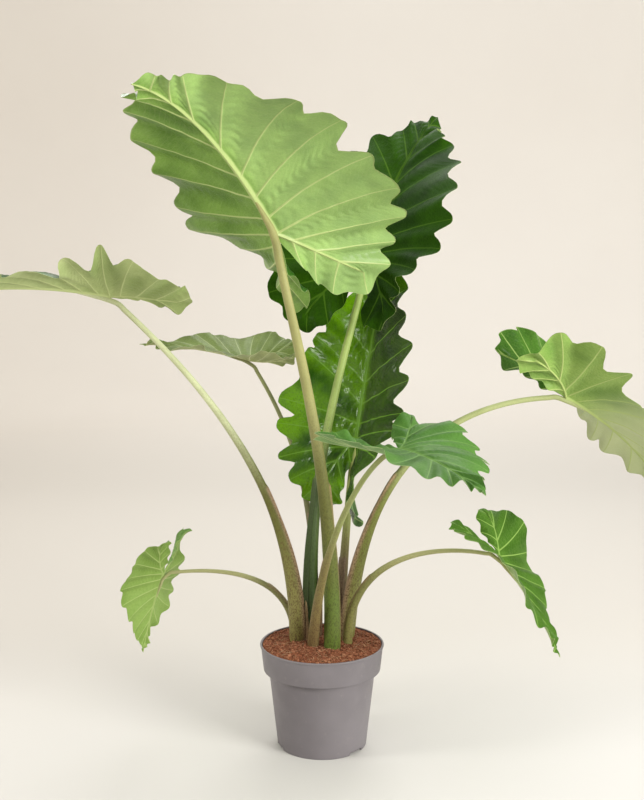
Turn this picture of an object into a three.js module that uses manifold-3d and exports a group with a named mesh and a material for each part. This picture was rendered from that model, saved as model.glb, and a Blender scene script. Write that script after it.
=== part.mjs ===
// Potted alocasia: nine arrow-shaped leaves on arching stalks, rising from one rootstock
// that is buried in the soil of a plain round nursery pot.
// Millimetres, +Z up. The origin is on the pot's axis, in the plane of its foot.
// Seen from the front (along +Y), +X is to the right.

import * as THREE from 'three';
import { mergeVertices } from 'three/addons/utils/BufferGeometryUtils.js';
import Module from 'manifold-3d';

// ---------- driving dimensions ----------

const CLEARANCE = 0.3;            // air kept between two pieces that touch

// the pot, an injection-moulded 24 cm nursery pot
const POT_HEIGHT = 200;
const RIM_RADIUS = 120;
const LIP_HEIGHT = 4;             // the small bead round the top edge
const LIP_OUT = 1.6;
const BAND_HEIGHT = 50;           // the wide collar below the rim
const BAND_FOOT_RADIUS = 113.4;
const BODY_TOP_RADIUS = 103;
const FOOT_RADIUS = 86.5;
const WALL = 2.2;
const FLOOR = 2.6;
const FOOT_WIDTH = 6.5;           // the ring that the pot stands on
const CHANNEL_HEIGHT = 6;         // the drain channel between foot ring and floor disc
const DISC_RADIUS = 58;
const DRAIN_HOLES = 6;
const DRAIN_HOLE_RADIUS = 5;
const NOTCHES = 3;                // gaps in the foot ring that let water out
const NOTCH_WIDTH = 34;
const NOTCH_HEIGHT = 5.6;
const NOTCH_TURN = -41;           // degrees from +X to the notch seen at the front right
const POT_SIDES = 40;

// the soil
const SOIL_EDGE_HEIGHT = 193;
const SOIL_CROWN = 6;             // how much higher the middle stands
const SOIL_LUMP = 1.2;

// the rootstock, a squat stem with all the stalks on its top face
const ROOT_CENTRE = [-2, 24];
const ROOT_TOP = 150;
const ROOT_RADIUS = 64;
const ROOT_DEPTH = 78;
const ROOT_SIDES = 24;

// the blades: a sheet with a midrib and side veins raised on its underside
const SHEET = 0.9;
const MIDRIB = 2.6;
const VEIN = 0.6;
const COLUMNS = [0, 0.04, 0.5, 1];             // from the rib out to the margin
const MARGIN_NOTCH = 0.12;                     // depth of the notches between vein ends
const PUCKER = 0.022;                          // bulge between veins, of the half width
const EDGE_WAVE = 0.026;
const RUFFLE = 0.05;

// half outline, tip to lobe tip to sinus: forward in blade lengths, sideways in half widths
const FRONT_OUTLINE = [[1, 0], [0.88, 0.14], [0.68, 0.44], [0.44, 0.76], [0.2, 0.95], [-0.02, 1]];
// the same behind the stalk, backward in lobe lengths
const LOBE_OUTLINE = [[-0.36, 0.97], [-0.76, 0.78], [-1, 0.46], [-0.82, 0.2], [-0.42, 0.07], [-0.07, 0]];
const LOBE_TIP_POINT = 8;
const CURVE_STEPS = 24;
const MIDRIB_VEINS = 8;           // vein 0 is the tip and vein 8 the top of the stalk
const OUTER_VEINS = 12;           // vein 12 runs into the lobe's tip
const ALL_VEINS = 16;             // the last four run from the lobe's rib to the sinus
const VEIN_STARTS = [1, 0.88, 0.74, 0.59, 0.41, 0.27, 0.165, 0.07, 0];
// how far round the margin each vein ends, counted in twelfths of the way to the lobe tip
const VEIN_ENDS = [0, 0.45, 0.85, 1.35, 2.4, 4, 5.3, 6.7, 7.9, 9.1, 10.2, 11.1, 12];
const LOBE_RIB = [-0.78, 0.47];
const LOBE_RIB_STARTS = [0, 0.14, 0.38, 0.68, 1];

// the stalks
const STALK_SIDES = 10;
const STALK_STEPS = 12;
const SWELL_FULL = 0.1;           // shares of a stalk's length: where its sheath's swelling is
const SWELL_FADE = 0.16;          // full, and from where it fades, to nothing at SHEATH_END
const SHEATH_GROOVE = 0.3;        // depth of the channel on the inner side, of the radius
const SHEATH_END = 0.45;          // where that channel has run out, of the stalk's length
const TRIM_BLOCK = 40;            // the block that trims a stalk under its blade

// No two scallops are alike. Right half, then left, each vein: [reach against the plain
// outline, lift of its end off the sheet in mm, slide of its end along the margin in veins].
const MARGIN = {
  high_left: [
    { 1: [0.8, 0, 0], 2: [0.85, 10, 0], 3: [1.1, 0, 0], 5: [0.95, 10, 0], 6: [0.85, -10, 0],
      7: [0.95, -10, 0.25], 8: [1.15, 0, 0], 9: [1.15, 10, 0], 10: [1, 0, 0.25] },
    { 1: [1.15, 10, 0.5], 2: [1.25, 10, 0.25], 3: [1, 10, 0], 5: [1.15, 0, 0], 6: [1.1, 0, 0],
      8: [1.05, 0, 0], 9: [1.05, 0, 0.25], 10: [1, 0, 0.25], 12: [0.9, 10, 0.25],
      13: [1, 0, 0.5], 14: [1.1, 0, 0.25] },
  ],
  high_right: [
    { 1: [0.95, -10, 0], 2: [0.95, -10, 0], 3: [0.95, -10, 0.75], 4: [1, -10, 0.25],
      5: [1, -10, 0.25], 6: [1.05, 0, 1], 7: [1.05, 0, 1], 8: [0.95, 0, 0.75],
      9: [0.9, 10, 0.5], 10: [0.8, 10, 0.25], 11: [0.7, 10, 0], 12: [0.85, 10, 0.25],
      13: [1.1, 10, 0] },
    { 1: [1, 10, 0], 2: [1.25, 10, 0.5], 3: [1, 0, 0.25], 4: [1.2, 10, 0.25], 5: [1.25, 0, 0],
      6: [1.05, 10, -0.25] },
  ],
  centre: [
    { 3: [0.95, -10, 0.75], 4: [1, 0, 0.75], 5: [0.95, 0, 0.5], 6: [0.9, 0, 0.5],
      7: [1, 0, 0.5], 9: [0.95, 0, -0.25], 10: [0.75, -10, 0], 11: [0.75, -10, -0.25],
      12: [1, 0, 0.5] },
    { 3: [1, 0, 1], 4: [1, 0, 0.75], 5: [1, 0, 0.5], 7: [1, 0, 0.5], 8: [0.95, 0, 0.25],
      9: [0.9, 0, 0.25], 10: [0.8, 0, 0], 11: [0.8, -10, 0], 12: [0.95, -10, 0.5],
      13: [1.15, 0, 0.25] },
  ],
  front_right: [
    { 1: [1, 10, -0.5], 2: [1.1, 0, -0.5], 4: [1, 10, 0], 5: [0.95, 0, 0] },
    { 2: [1, -10, 0], 3: [0.95, 0, -0.25], 4: [0.9, -10, 0], 5: [0.95, -20, 0],
      6: [0.95, -20, -0.25], 7: [0.95, -10, 0.25], 9: [0.95, 0, -0.25], 11: [0.95, -10, 0],
      12: [1, 0, -0.25] },
  ],
  far_left: [
    {},
    { 4: [1, 0, -0.25], 5: [1, -10, -0.5], 6: [1, -10, -0.75], 7: [1, -10, -0.75],
      8: [0.95, 10, -0.75], 9: [1.1, 10, -0.75], 10: [1, 20, -0.75], 11: [1.05, 10, -0.75],
      12: [1, 10, -0.75] },
  ],
  far_right: [
    { 7: [0.85, -20, -0.25], 8: [1, -10, 0], 9: [1.05, 0, 0], 10: [1, 20, 0], 11: [0.95, 0, 0],
      12: [1, 20, 0] },
    { 3: [1.1, -10, 0.5], 4: [1.05, 0, 0.5], 5: [1, 20, 0], 6: [0.9, 30, -0.25],
      7: [1, 30, -0.25], 8: [1, 30, -0.25], 9: [0.95, 30, -0.25], 10: [1.05, 10, -0.5],
      11: [1, 20, -0.5], 12: [0.75, 30, -0.25] },
  ],
};
// the bays that differ from the rest, by the vein before each: [depth, lift in mm]
const BAYS = {
  high_left: [
    {},
    { 4: [0.2, 0], 6: [0.25, 0] },
  ],
  high_right: [
    { 6: [0.1, 0], 7: [0.1, 0] },
    { 3: [0.25, 0], 4: [0.25, 0], 5: [0.15, 0] },
  ],
  centre: [
    { 4: [0.15, 0], 5: [0.2, 0], 6: [0.2, 0] },
    { 6: [0.15, 10], 7: [0.2, -10], 8: [0.2, -10], 9: [0.2, -10], 10: [0.2, -10],
      11: [0.15, -10] },
  ],
  front_right: [
    {},
    { 6: [0.15, 0], 8: [0.2, 0], 9: [0.1, 0], 11: [0.2, 0] },
  ],
  far_left: [
    {},
    { 6: [0.3, -15], 7: [0.35, -20], 8: [0.3, -15] },
  ],
  far_right: [
    { 7: [0.25, 0], 8: [0.3, 0], 9: [0.25, 0], 10: [0.1, 0] },
    {},
  ],
};

// One entry a leaf. at: top of the stalk. front, half, lobe: blade length ahead of the stalk,
// half width, and length of the lobes behind it. heading, rise: where the tip points, in
// degrees round from +X and up. Pairs are the right half, then the left, looking to the tip.
// radius: the stalk's at its foot and top, how much its sheath adds, and its taper's power.
const LEAVES = [
  { name: 'high_left', at: [-80, -150, 980], front: 480, half: 225, lobe: 235, veinRows: 3,
    heading: -133, rise: 52, roll: 32, bend: 60, back: -16, turn: 0.15,
    fold: [20, 8], lobeFold: [43, 38], curl: [25, -25], wave: 1.0,
    foot: [18, -30], lean: [35, -40, 560], reach: [-75, -165, 890], radius: [15.5, 7.4, 1.5, 1.3] },
  { name: 'high_right', at: [90, 140, 945], front: 460, half: 205, lobe: 165, veinRows: 3,
    heading: 60, rise: 57, roll: 0, bend: 28, back: 25, turn: 0.15,
    fold: [20, 16], lobeFold: [25, 20], curl: [0, 0], wave: 2.1,
    foot: [-16, 38], lean: [-55, 45, 525], reach: [85, 165, 845], radius: [12.5, 6.8, 3.5, 1.4] },
  { name: 'centre', at: [70, 130, 580], front: 420, half: 187, lobe: 155, veinRows: 3,
    heading: 45, rise: 80, roll: 0, bend: 12, back: 25, turn: 0.15,
    fold: [15, 8], lobeFold: [50, 20], curl: [10, 30], wave: 0.4,
    foot: [30, 70], lean: [45, 75, 355], reach: [60, 175, 545], radius: [13, 6, 1, 1.6] },
  { name: 'front_right', at: [125, -330, 635], front: 260, half: 146, lobe: 108, veinRows: 2,
    heading: -68, rise: 3, roll: 11, bend: 19, back: -23, turn: 0.15,
    fold: [8, 4], lobeFold: [1, 17], curl: [40, -38], wave: 3.3,
    foot: [-18, -6], lean: [-20, -70, 370], reach: [60, -270, 610], radius: [13, 4.4, 0, 2.2] },
  { name: 'far_left', at: [-385, -60, 870], front: 290, half: 158, lobe: 138, veinRows: 3,
    heading: 195, rise: 12, roll: -5, bend: 22, back: 5, turn: 0.3,
    fold: [5, 38], lobeFold: [20, 20], curl: [5, 0], wave: 5.1,
    foot: [-50, 14], lean: [-16, 10, 515], reach: [-285, -55, 775], radius: [13.5, 5, 5, 1.6] },
  { name: 'back_left', at: [-155, 300, 725], front: 240, half: 134, lobe: 110, veinRows: 2,
    heading: 184, rise: 16, roll: -12, bend: 15, back: -27, turn: 0.15,
    fold: [9, 18], lobeFold: [23, 26], curl: [-7, 3], wave: 4.2,
    foot: [-20, 78], lean: [10, 170, 480], reach: [-100, 300, 635], radius: [10, 4, 0, 1.6] },
  { name: 'far_right', at: [470, 40, 675], front: 325, half: 164, lobe: 140, veinRows: 3,
    heading: 22, rise: -26, roll: 5, bend: 26, back: 30, turn: 0.7,
    fold: [12, -30], lobeFold: [46, 36], curl: [-5, 0], wave: 0.9,
    foot: [44, 34], lean: [64, 34, 665], reach: [375, 38, 675], radius: [13.5, 5, 5, 1.6] },
  { name: 'low_right', at: [320, -130, 405], front: 205, half: 113, lobe: 95, veinRows: 2,
    heading: -43, rise: -42, roll: -20, bend: 14, back: 19, turn: 0.15,
    fold: [19, 7], lobeFold: [0, 38], curl: [-7, -2], wave: 2.6,
    foot: [52, -2], lean: [20, -8, 385], reach: [215, -110, 430], radius: [12, 3.6, 0, 1.8] },
  { name: 'low_left', at: [-315, 60, 320], front: 175, half: 99, lobe: 87, veinRows: 2,
    heading: 157, rise: -68, roll: 5, bend: 11, back: 26, turn: 0.15,
    fold: [7, 26], lobeFold: [27, 21], curl: [5, -20], wave: 1.7,
    foot: [-58, 50], lean: [-25, 50, 340], reach: [-220, 60, 335], radius: [9.5, 3.3, 0, 1.7] },
];

const COLOURS = {
  pot: 0x87807f,
  soil: 0x784832,
  rootstock: 0x8a6a4a,
  stalk: 0x8c9a54,
  paleStalk: 0xa9b87a,
  leaf: 0x4f8a35,
  darkLeaf: 0x235c17,
};

// ---------- small helpers ----------

const wasm = await Module();
wasm.setup();

const radians = THREE.MathUtils.degToRad;

function smooth(x) {
  return THREE.MathUtils.smoothstep(x, 0, 1);
}

function stepped(list, x) {
  // value of a list between its entries
  const i = Math.min(Math.floor(x), list.length - 2);
  return list[i] + (list[i + 1] - list[i]) * (x - i);
}

function meshFrom(points, index) {
  const geometry = new THREE.BufferGeometry();
  geometry.setAttribute('position', new THREE.Float32BufferAttribute(points, 3));
  geometry.setIndex(index);
  return geometry;
}

function toSolid(geometry) {
  // shared corners merged and flat triangles dropped, so that the surface closes
  const bare = geometry.clone();
  bare.deleteAttribute('normal');
  bare.deleteAttribute('uv');
  const merged = mergeVertices(bare, 1e-4);
  const old = merged.index.array;
  const kept = [];
  for (let i = 0; i < old.length; i += 3) {
    const [a, b, c] = old.slice(i, i + 3);
    if (a !== b && b !== c && c !== a) kept.push(a, b, c);
  }
  return new wasm.Manifold(new wasm.Mesh({
    numProp: 3,
    vertProperties: new Float32Array(merged.attributes.position.array),
    triVerts: new Uint32Array(kept),
  }));
}

function fromSolid(solid) {
  const mesh = solid.getMesh();
  return meshFrom(Array.from(mesh.vertProperties), Array.from(mesh.triVerts));
}

function largestPiece(solid) {
  return solid.decompose().sort((a, b) => b.volume() - a.volume())[0];
}

function turned(profile, sides) {
  // a closed profile of [radius, height] pairs turned round the Z axis
  const points = profile.map(([r, z]) => new THREE.Vector2(r, z));
  return new THREE.LatheGeometry(points, sides).rotateX(Math.PI / 2);
}

function loft(rings) {
  // a closed tube through rings of equal count, with a fan over each end
  const n = rings[0].length;
  const points = rings.flat().flatMap((p) => p.toArray());
  const index = [];
  for (let r = 0; r < rings.length - 1; r += 1) {
    for (let k = 0; k < n; k += 1) {
      const a = r * n + k;
      const b = r * n + (k + 1) % n;
      index.push(a, b, b + n, a, b + n, a + n);
    }
  }
  [0, rings.length - 1].forEach((r, end) => {
    const centre = rings[r].reduce((sum, p) => sum.add(p), new THREE.Vector3()).divideScalar(n);
    const hub = points.length / 3;
    points.push(...centre.toArray());
    for (let k = 0; k < n; k += 1) {
      const a = r * n + k;
      const b = r * n + (k + 1) % n;
      index.push(...(end ? [hub, a, b] : [hub, b, a]));
    }
  });
  return meshFrom(points, index);
}

// ---------- the pot ----------

function potProfile() {
  const bandFoot = POT_HEIGHT - BAND_HEIGHT;
  const lipFoot = POT_HEIGHT - LIP_HEIGHT;
  const channelOuter = FOOT_RADIUS - FOOT_WIDTH;
  const insideFloor = CHANNEL_HEIGHT + FLOOR;
  return [
    [0, 0],
    [DISC_RADIUS, 0],
    [DISC_RADIUS + 2, CHANNEL_HEIGHT],
    [channelOuter - 1, CHANNEL_HEIGHT],
    [channelOuter, 0],
    [FOOT_RADIUS, 0],
    [BODY_TOP_RADIUS, bandFoot - 2],
    [BODY_TOP_RADIUS + 1, bandFoot],
    [BAND_FOOT_RADIUS, bandFoot],
    [RIM_RADIUS - LIP_OUT, lipFoot],
    [RIM_RADIUS, lipFoot + 0.8],
    [RIM_RADIUS, POT_HEIGHT - 0.8],
    [RIM_RADIUS - 0.8, POT_HEIGHT],
    [RIM_RADIUS - LIP_OUT - WALL, POT_HEIGHT],
    ...cavityProfile(0).reverse(),
    [0, FLOOR],
  ];
}

function cavityProfile(inset) {
  // the inside of the pot from the floor disc up to the rim, drawn in by the inset
  const bandFoot = POT_HEIGHT - BAND_HEIGHT;
  const raised = CHANNEL_HEIGHT + FLOOR + inset;
  const wallRise = (BODY_TOP_RADIUS - FOOT_RADIUS) / (bandFoot - 2);
  return [
    [DISC_RADIUS - 3 - inset, FLOOR + inset],
    [DISC_RADIUS - 1 - inset, raised],
    [FOOT_RADIUS - WALL + wallRise * raised - inset, raised],
    [BODY_TOP_RADIUS - WALL - inset, bandFoot + WALL + inset],
    [BAND_FOOT_RADIUS - WALL - inset, bandFoot + WALL + inset],
    [RIM_RADIUS - LIP_OUT - WALL - inset, POT_HEIGHT - LIP_HEIGHT],
  ];
}

function drainTools() {
  // plugs for the drain holes, and arched blocks for the gaps in the foot ring
  const tools = [];
  const holeAt = (DISC_RADIUS + FOOT_RADIUS - FOOT_WIDTH) / 2;
  for (let i = 0; i < DRAIN_HOLES; i += 1) {
    const plug = new THREE.CylinderGeometry(DRAIN_HOLE_RADIUS, DRAIN_HOLE_RADIUS, 20, 12);
    plug.rotateX(Math.PI / 2).translate(holeAt + 2, 0, 8);
    tools.push(plug.rotateZ(radians(NOTCH_TURN + 30 + i * 360 / DRAIN_HOLES)));
  }
  for (let i = 0; i < NOTCHES; i += 1) {
    const gap = new THREE.Shape([
      new THREE.Vector2(-NOTCH_WIDTH / 2, -5),
      new THREE.Vector2(NOTCH_WIDTH / 2, -5),
      new THREE.Vector2(NOTCH_WIDTH / 2 - 1, NOTCH_HEIGHT - 2),
      new THREE.Vector2(NOTCH_WIDTH / 2 - 3, NOTCH_HEIGHT),
      new THREE.Vector2(-NOTCH_WIDTH / 2 + 3, NOTCH_HEIGHT),
      new THREE.Vector2(-NOTCH_WIDTH / 2 + 1, NOTCH_HEIGHT - 2),
    ]);
    const block = new THREE.ExtrudeGeometry(gap, { depth: 20, bevelEnabled: false });
    block.rotateX(Math.PI / 2).rotateZ(Math.PI / 2).translate(FOOT_RADIUS - 9, 0, 0);
    tools.push(block.rotateZ(radians(NOTCH_TURN + i * 360 / NOTCHES)));
  }
  return tools;
}

function potGeometry() {
  let solid = toSolid(turned(potProfile(), POT_SIDES));
  drainTools().forEach((tool) => { solid = solid.subtract(toSolid(tool)); });
  return fromSolid(solid);
}

// ---------- the rootstock and the soil ----------

function rootGeometry(grow) {
  const foot = ROOT_TOP - ROOT_DEPTH;
  const profile = [
    [0, foot - grow],
    [24 + grow, foot + 4 - grow],
    [44 + grow, foot + 20],
    [58 + grow, foot + 42],
    [ROOT_RADIUS + grow, ROOT_TOP - 14],
    [ROOT_RADIUS - 3 + grow, ROOT_TOP + grow],
    [0, ROOT_TOP + grow],
  ];
  return turned(profile, ROOT_SIDES).translate(...ROOT_CENTRE, 0);
}

function soilGeometry(holes) {
  const edge = SOIL_EDGE_HEIGHT;
  const slope = (RIM_RADIUS - LIP_OUT - BAND_FOOT_RADIUS) / (BAND_HEIGHT - LIP_HEIGHT);
  const edgeRadius = BAND_FOOT_RADIUS - WALL - CLEARANCE
    + slope * (edge - POT_HEIGHT + BAND_HEIGHT - WALL);
  const block = turned([
    [0, FLOOR + CLEARANCE],
    ...cavityProfile(CLEARANCE).slice(0, -1),
    [edgeRadius - 0.2, edge],
    [edgeRadius * 0.84, edge + SOIL_CROWN * 0.5],
    [edgeRadius * 0.66, edge + SOIL_CROWN * 0.75],
    [edgeRadius * 0.4, edge + SOIL_CROWN * 0.95],
    [0, edge + SOIL_CROWN],
  ], POT_SIDES);
  const place = block.attributes.position;
  for (let i = 0; i < place.count; i += 1) {
    const x = place.getX(i);
    const y = place.getY(i);
    const inside = Math.hypot(x, y) < edgeRadius - 2 && place.getZ(i) > edge;
    const lump = SOIL_LUMP * Math.sin(0.11 * x + 1) * Math.cos(0.13 * y - 0.05 * x);
    if (inside) place.setZ(i, place.getZ(i) + lump);
  }
  let solid = toSolid(block);
  holes.forEach((hole) => { solid = solid.subtract(toSolid(hole)); });
  return fromSolid(largestPiece(solid));
}

// ---------- the blades ----------

function bladeOutline(leaf) {
  const controls = [
    ...FRONT_OUTLINE.map(([x, y]) => new THREE.Vector3(x * leaf.front, y * leaf.half, 0)),
    ...LOBE_OUTLINE.map(([x, y]) => new THREE.Vector3(x * leaf.lobe, y * leaf.half, 0)),
  ];
  const curve = new THREE.CatmullRomCurve3(controls, false, 'catmullrom', 0.5);
  curve.arcLengthDivisions = (controls.length - 1) * CURVE_STEPS;
  const lengths = curve.getLengths();
  const lobeTip = lengths[LOBE_TIP_POINT * CURVE_STEPS] / lengths[lengths.length - 1];
  return { curve, lobeTip };
}

function ribPoint(leaf, vein) {
  // where a vein starts: on the midrib, or on the rib that runs into the lobe
  if (vein <= MIDRIB_VEINS) return new THREE.Vector2(stepped(VEIN_STARTS, vein) * leaf.front, 0);
  const mirrored = vein > OUTER_VEINS ? 2 * OUTER_VEINS - vein : vein;
  const along = stepped(LOBE_RIB_STARTS, mirrored - MIDRIB_VEINS);
  const sideways = LOBE_RIB[1] * leaf.half * along ** 0.85;
  return new THREE.Vector2(LOBE_RIB[0] * leaf.lobe * along, sideways);
}

function halfOf(table, leaf, side) {
  // a leaf's chosen values on its right half (side 1) or its left (side -1)
  const halves = table[leaf.name] ?? [{}, {}];
  return halves[side > 0 ? 0 : 1];
}

function veinEnd(leaf, side, vein) {
  // reach, lift and slide of a vein's end, joined smoothly from one vein to the next
  const chosen = halfOf(MARGIN, leaf, side);
  const before = Math.min(Math.floor(vein), ALL_VEINS - 1);
  const [low, high] = [before, before + 1].map((k) => chosen[k] ?? [1, 0, 0]);
  const share = smooth(vein - before);
  return low.map((value, which) => value + (high[which] - value) * share);
}

function bayAfter(leaf, side, vein) {
  // depth and lift of the bay a point of the margin lies in
  const before = Math.min(Math.floor(vein), ALL_VEINS - 1);
  return halfOf(BAYS, leaf, side)[before] ?? [MARGIN_NOTCH, 0];
}

function flatPoint(leaf, outline, side, vein, out, grow) {
  // the point a fraction out along a vein on the blade pressed flat, notched between veins
  const [reach, , slide] = veinEnd(leaf, side, vein);
  const [depth] = bayAfter(leaf, side, vein);
  const end = vein + slide;
  const past = (end - OUTER_VEINS) / (ALL_VEINS - OUTER_VEINS);
  const share = end <= OUTER_VEINS
    ? outline.lobeTip * stepped(VEIN_ENDS, end) / OUTER_VEINS
    : outline.lobeTip + (1 - outline.lobeTip) * past;
  const edge = outline.curve.getPointAt(Math.min(share, 1));
  const start = ribPoint(leaf, vein);
  const span = new THREE.Vector2(edge.x, edge.y).sub(start);
  const notch = 1 - depth * Math.abs(Math.sin(Math.PI * vein)) ** 1.2;
  const length = span.length();
  const stretch = length > 0 ? reach * notch * out + grow * out / length : 0;
  return start.addScaledVector(span, stretch);
}

function bladeLift(leaf, side, vein, out) {
  // bulges between the veins, a wave along the margin, a slower ruffle, and chosen lifts
  const [, lift] = veinEnd(leaf, side, vein);
  const [, bayLift] = bayAfter(leaf, side, vein);
  const chosen = (lift + bayLift * Math.sin(Math.PI * vein) ** 2) * out ** 2;
  const bulge = PUCKER * Math.sin(Math.PI * vein) ** 2 * 4 * out * (1 - out);
  const edge = -EDGE_WAVE * Math.cos(2 * Math.PI * vein) * out ** 3;
  const slow = RUFFLE * out ** 2 * Math.sin(1.9 * vein + leaf.wave);
  const fade = smooth(vein / 1.5) * smooth((ALL_VEINS - vein) / 1.5);
  return leaf.half * fade * (bulge + edge + slow) + chosen;
}

function bladeAxes(leaf) {
  const heading = radians(leaf.heading);
  const rise = radians(leaf.rise);
  const roll = radians(leaf.roll);
  const tip = new THREE.Vector3(
    Math.cos(rise) * Math.cos(heading), Math.cos(rise) * Math.sin(heading), Math.sin(rise));
  const level = new THREE.Vector3(
    -Math.sin(rise) * Math.cos(heading), -Math.sin(rise) * Math.sin(heading), Math.cos(rise));
  const across = new THREE.Vector3().crossVectors(tip, level);
  const up = level.clone().multiplyScalar(Math.cos(roll)).addScaledVector(across, Math.sin(roll));
  const right = across.multiplyScalar(Math.cos(roll)).addScaledVector(level, -Math.sin(roll));
  return { tip, up, right };
}

function arc(start, rate, length) {
  // how far a path has gone along and up whose slope angle is start + rate * length
  const k = Math.abs(rate) < 1e-9 ? 1e-9 : rate;
  return [
    (Math.sin(start + k * length) - Math.sin(start)) / k,
    -(Math.cos(start + k * length) - Math.cos(start)) / k,
  ];
}

function bladePoint(leaf, axes, flat, side, lift) {
  // the pressed-flat point bent along the midrib, folded and curled across it, then lifted
  const half = side > 0 ? 0 : 1;
  const ahead = Math.max(flat.x, 0);
  const behind = Math.max(-flat.x, 0);
  const bend = radians(leaf.bend) / leaf.front;
  const back = radians(leaf.back) / leaf.lobe;
  const [alongAhead, dropAhead] = arc(0, bend, ahead);
  const [alongBehind, dropBehind] = arc(0, back, behind);
  const slope = bend * ahead + back * behind;
  const normal = axes.up.clone().multiplyScalar(Math.cos(slope));
  normal.addScaledVector(axes.tip, Math.sin(bend * ahead) - Math.sin(back * behind));
  const lobeStart = leaf.turn * leaf.front;
  const towardLobe = smooth((lobeStart - flat.x) / (lobeStart + 0.6 * leaf.lobe));
  const flatten = 1 - 0.45 * smooth((flat.x / leaf.front - 0.15) / 0.7);
  const fold = radians(leaf.fold[half] * flatten * (1 - towardLobe)
    + leaf.lobeFold[half] * towardLobe);
  const curl = radians(leaf.curl[half]) / leaf.half;
  const [acrossHalf, rise] = arc(fold, curl, flat.y);
  const tilt = flat.y > 0 ? fold + curl * flat.y : 0;
  const skin = normal.clone().multiplyScalar(Math.cos(tilt));
  skin.addScaledVector(axes.right, -side * Math.sin(tilt));
  return new THREE.Vector3(...leaf.at)
    .addScaledVector(axes.tip, alongAhead - alongBehind)
    .addScaledVector(axes.up, -dropAhead - dropBehind)
    .addScaledVector(axes.right, side * acrossHalf)
    .addScaledVector(normal, rise)
    .addScaledVector(skin, lift);
}

function ribHeight(vein, out) {
  // how far the ribs stand out below: the midrib, the lobe's rib, then each side vein
  if (out === 0 && vein <= MIDRIB_VEINS) return MIDRIB * (0.3 + 0.7 * vein / MIDRIB_VEINS);
  if (out === 0) {
    const left = Math.abs(OUTER_VEINS - vein) / (OUTER_VEINS - MIDRIB_VEINS);
    return MIDRIB * (0.25 + 0.75 * left);
  }
  return Number.isInteger(vein) ? VEIN * (1 - out) : 0;
}

function bladeGeometry(leaf, grow = 0) {
  const outline = bladeOutline(leaf);
  const axes = bladeAxes(leaf);
  const rows = ALL_VEINS * leaf.veinRows;
  const points = [];
  const known = new Map();
  const corner = (side, row, column) => {
    // one pair of corners, top then bottom, shared along the ribs and at the tip
    const lastOuter = OUTER_VEINS * leaf.veinRows;
    const lastMidrib = MIDRIB_VEINS * leaf.veinRows;
    const onRib = column === 0;
    const line = onRib && row > lastOuter ? 2 * lastOuter - row : row;
    const place = row === 0 ? 0 : column;
    const shared = row === 0 || row === rows || (onRib && line <= lastMidrib);
    const key = `${shared ? 'both' : side} ${line} ${place}`;
    if (!known.has(key)) {
      const vein = line / leaf.veinRows;
      const out = COLUMNS[place];
      const flat = flatPoint(leaf, outline, side, vein, out, grow);
      const lift = bladeLift(leaf, side, vein, out);
      const thick = SHEET / 2 + grow;
      known.set(key, points.length / 3);
      points.push(...bladePoint(leaf, axes, flat, side, lift + thick).toArray());
      const below = lift - thick - ribHeight(vein, out);
      points.push(...bladePoint(leaf, axes, flat, side, below).toArray());
    }
    return known.get(key);
  };
  const index = [];
  const add = (a, b, c) => {
    if (a !== b && b !== c && c !== a) index.push(a, b, c);
  };
  const quad = (a, b, c, d) => {
    add(a, b, c);
    add(a, c, d);
  };
  for (const side of [1, -1]) {
    for (let row = 0; row < rows; row += 1) {
      for (let column = 0; column < COLUMNS.length - 1; column += 1) {
        const a = corner(side, row, column);
        const b = corner(side, row, column + 1);
        const c = corner(side, row + 1, column + 1);
        const d = corner(side, row + 1, column);
        sheetQuad(add, side, [a, b, c, d]);
      }
      const b = corner(side, row, COLUMNS.length - 1);
      const c = corner(side, row + 1, COLUMNS.length - 1);
      if (side > 0) quad(b, c, c + 1, b + 1);
      else quad(c, b, b + 1, c + 1);
    }
  }
  return meshFrom(points, index);
}

function sheetQuad(add, side, [a, b, c, d]) {
  // the same two triangles on the upper and the lower face, each wound outward
  const [upper, lower] = side > 0 ? [0, 1] : [1, 0];
  add(a + upper, c + upper, b + upper);
  add(a + upper, d + upper, c + upper);
  add(a + lower, b + lower, c + lower);
  add(a + lower, c + lower, d + lower);
}

// ---------- the stalks ----------

function stalkCurve(leaf) {
  return new THREE.CubicBezierCurve3(
    new THREE.Vector3(...leaf.foot, ROOT_TOP + CLEARANCE),
    new THREE.Vector3(...leaf.lean),
    new THREE.Vector3(...leaf.reach),
    new THREE.Vector3(...leaf.at),
  );
}

function stalkRing(leaf, curve, share, grow) {
  const centre = curve.getPointAt(share);
  const upright = new THREE.Vector3(0, 0, 1);
  const tangent = share === 0 ? upright : curve.getTangentAt(share);
  const outward = new THREE.Vector3(leaf.at[0] - leaf.foot[0], leaf.at[1] - leaf.foot[1], 0);
  const side = new THREE.Vector3().crossVectors(upright, outward.normalize());
  side.addScaledVector(tangent, -side.dot(tangent)).normalize();
  const inner = new THREE.Vector3().crossVectors(tangent, side);
  const [foot, top, swell, taper] = leaf.radius;
  const swelling = smooth(share / SWELL_FULL)
    * (1 - smooth((share - SWELL_FADE) / (SHEATH_END - SWELL_FADE)));
  const radius = top + (foot - top) * (1 - share) ** taper + swell * swelling + grow;
  const groove = SHEATH_GROOVE * (1 - smooth(share / SHEATH_END));
  return Array.from({ length: STALK_SIDES }, (_, k) => {
    const angle = 2 * Math.PI * k / STALK_SIDES - 3 * Math.PI / 10;
    const facing = Math.max(0, Math.sin(angle)) ** 8;
    const reach = radius * (1 - groove * facing);
    return centre.clone()
      .addScaledVector(side, reach * Math.cos(angle))
      .addScaledVector(inner, reach * Math.sin(angle));
  });
}

function stalkLoft(leaf, grow) {
  const curve = stalkCurve(leaf);
  const rings = [];
  for (let i = 0; i <= STALK_STEPS; i += 1) {
    rings.push(stalkRing(leaf, curve, i / STALK_STEPS, grow));
  }
  return loft(rings);
}

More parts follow.
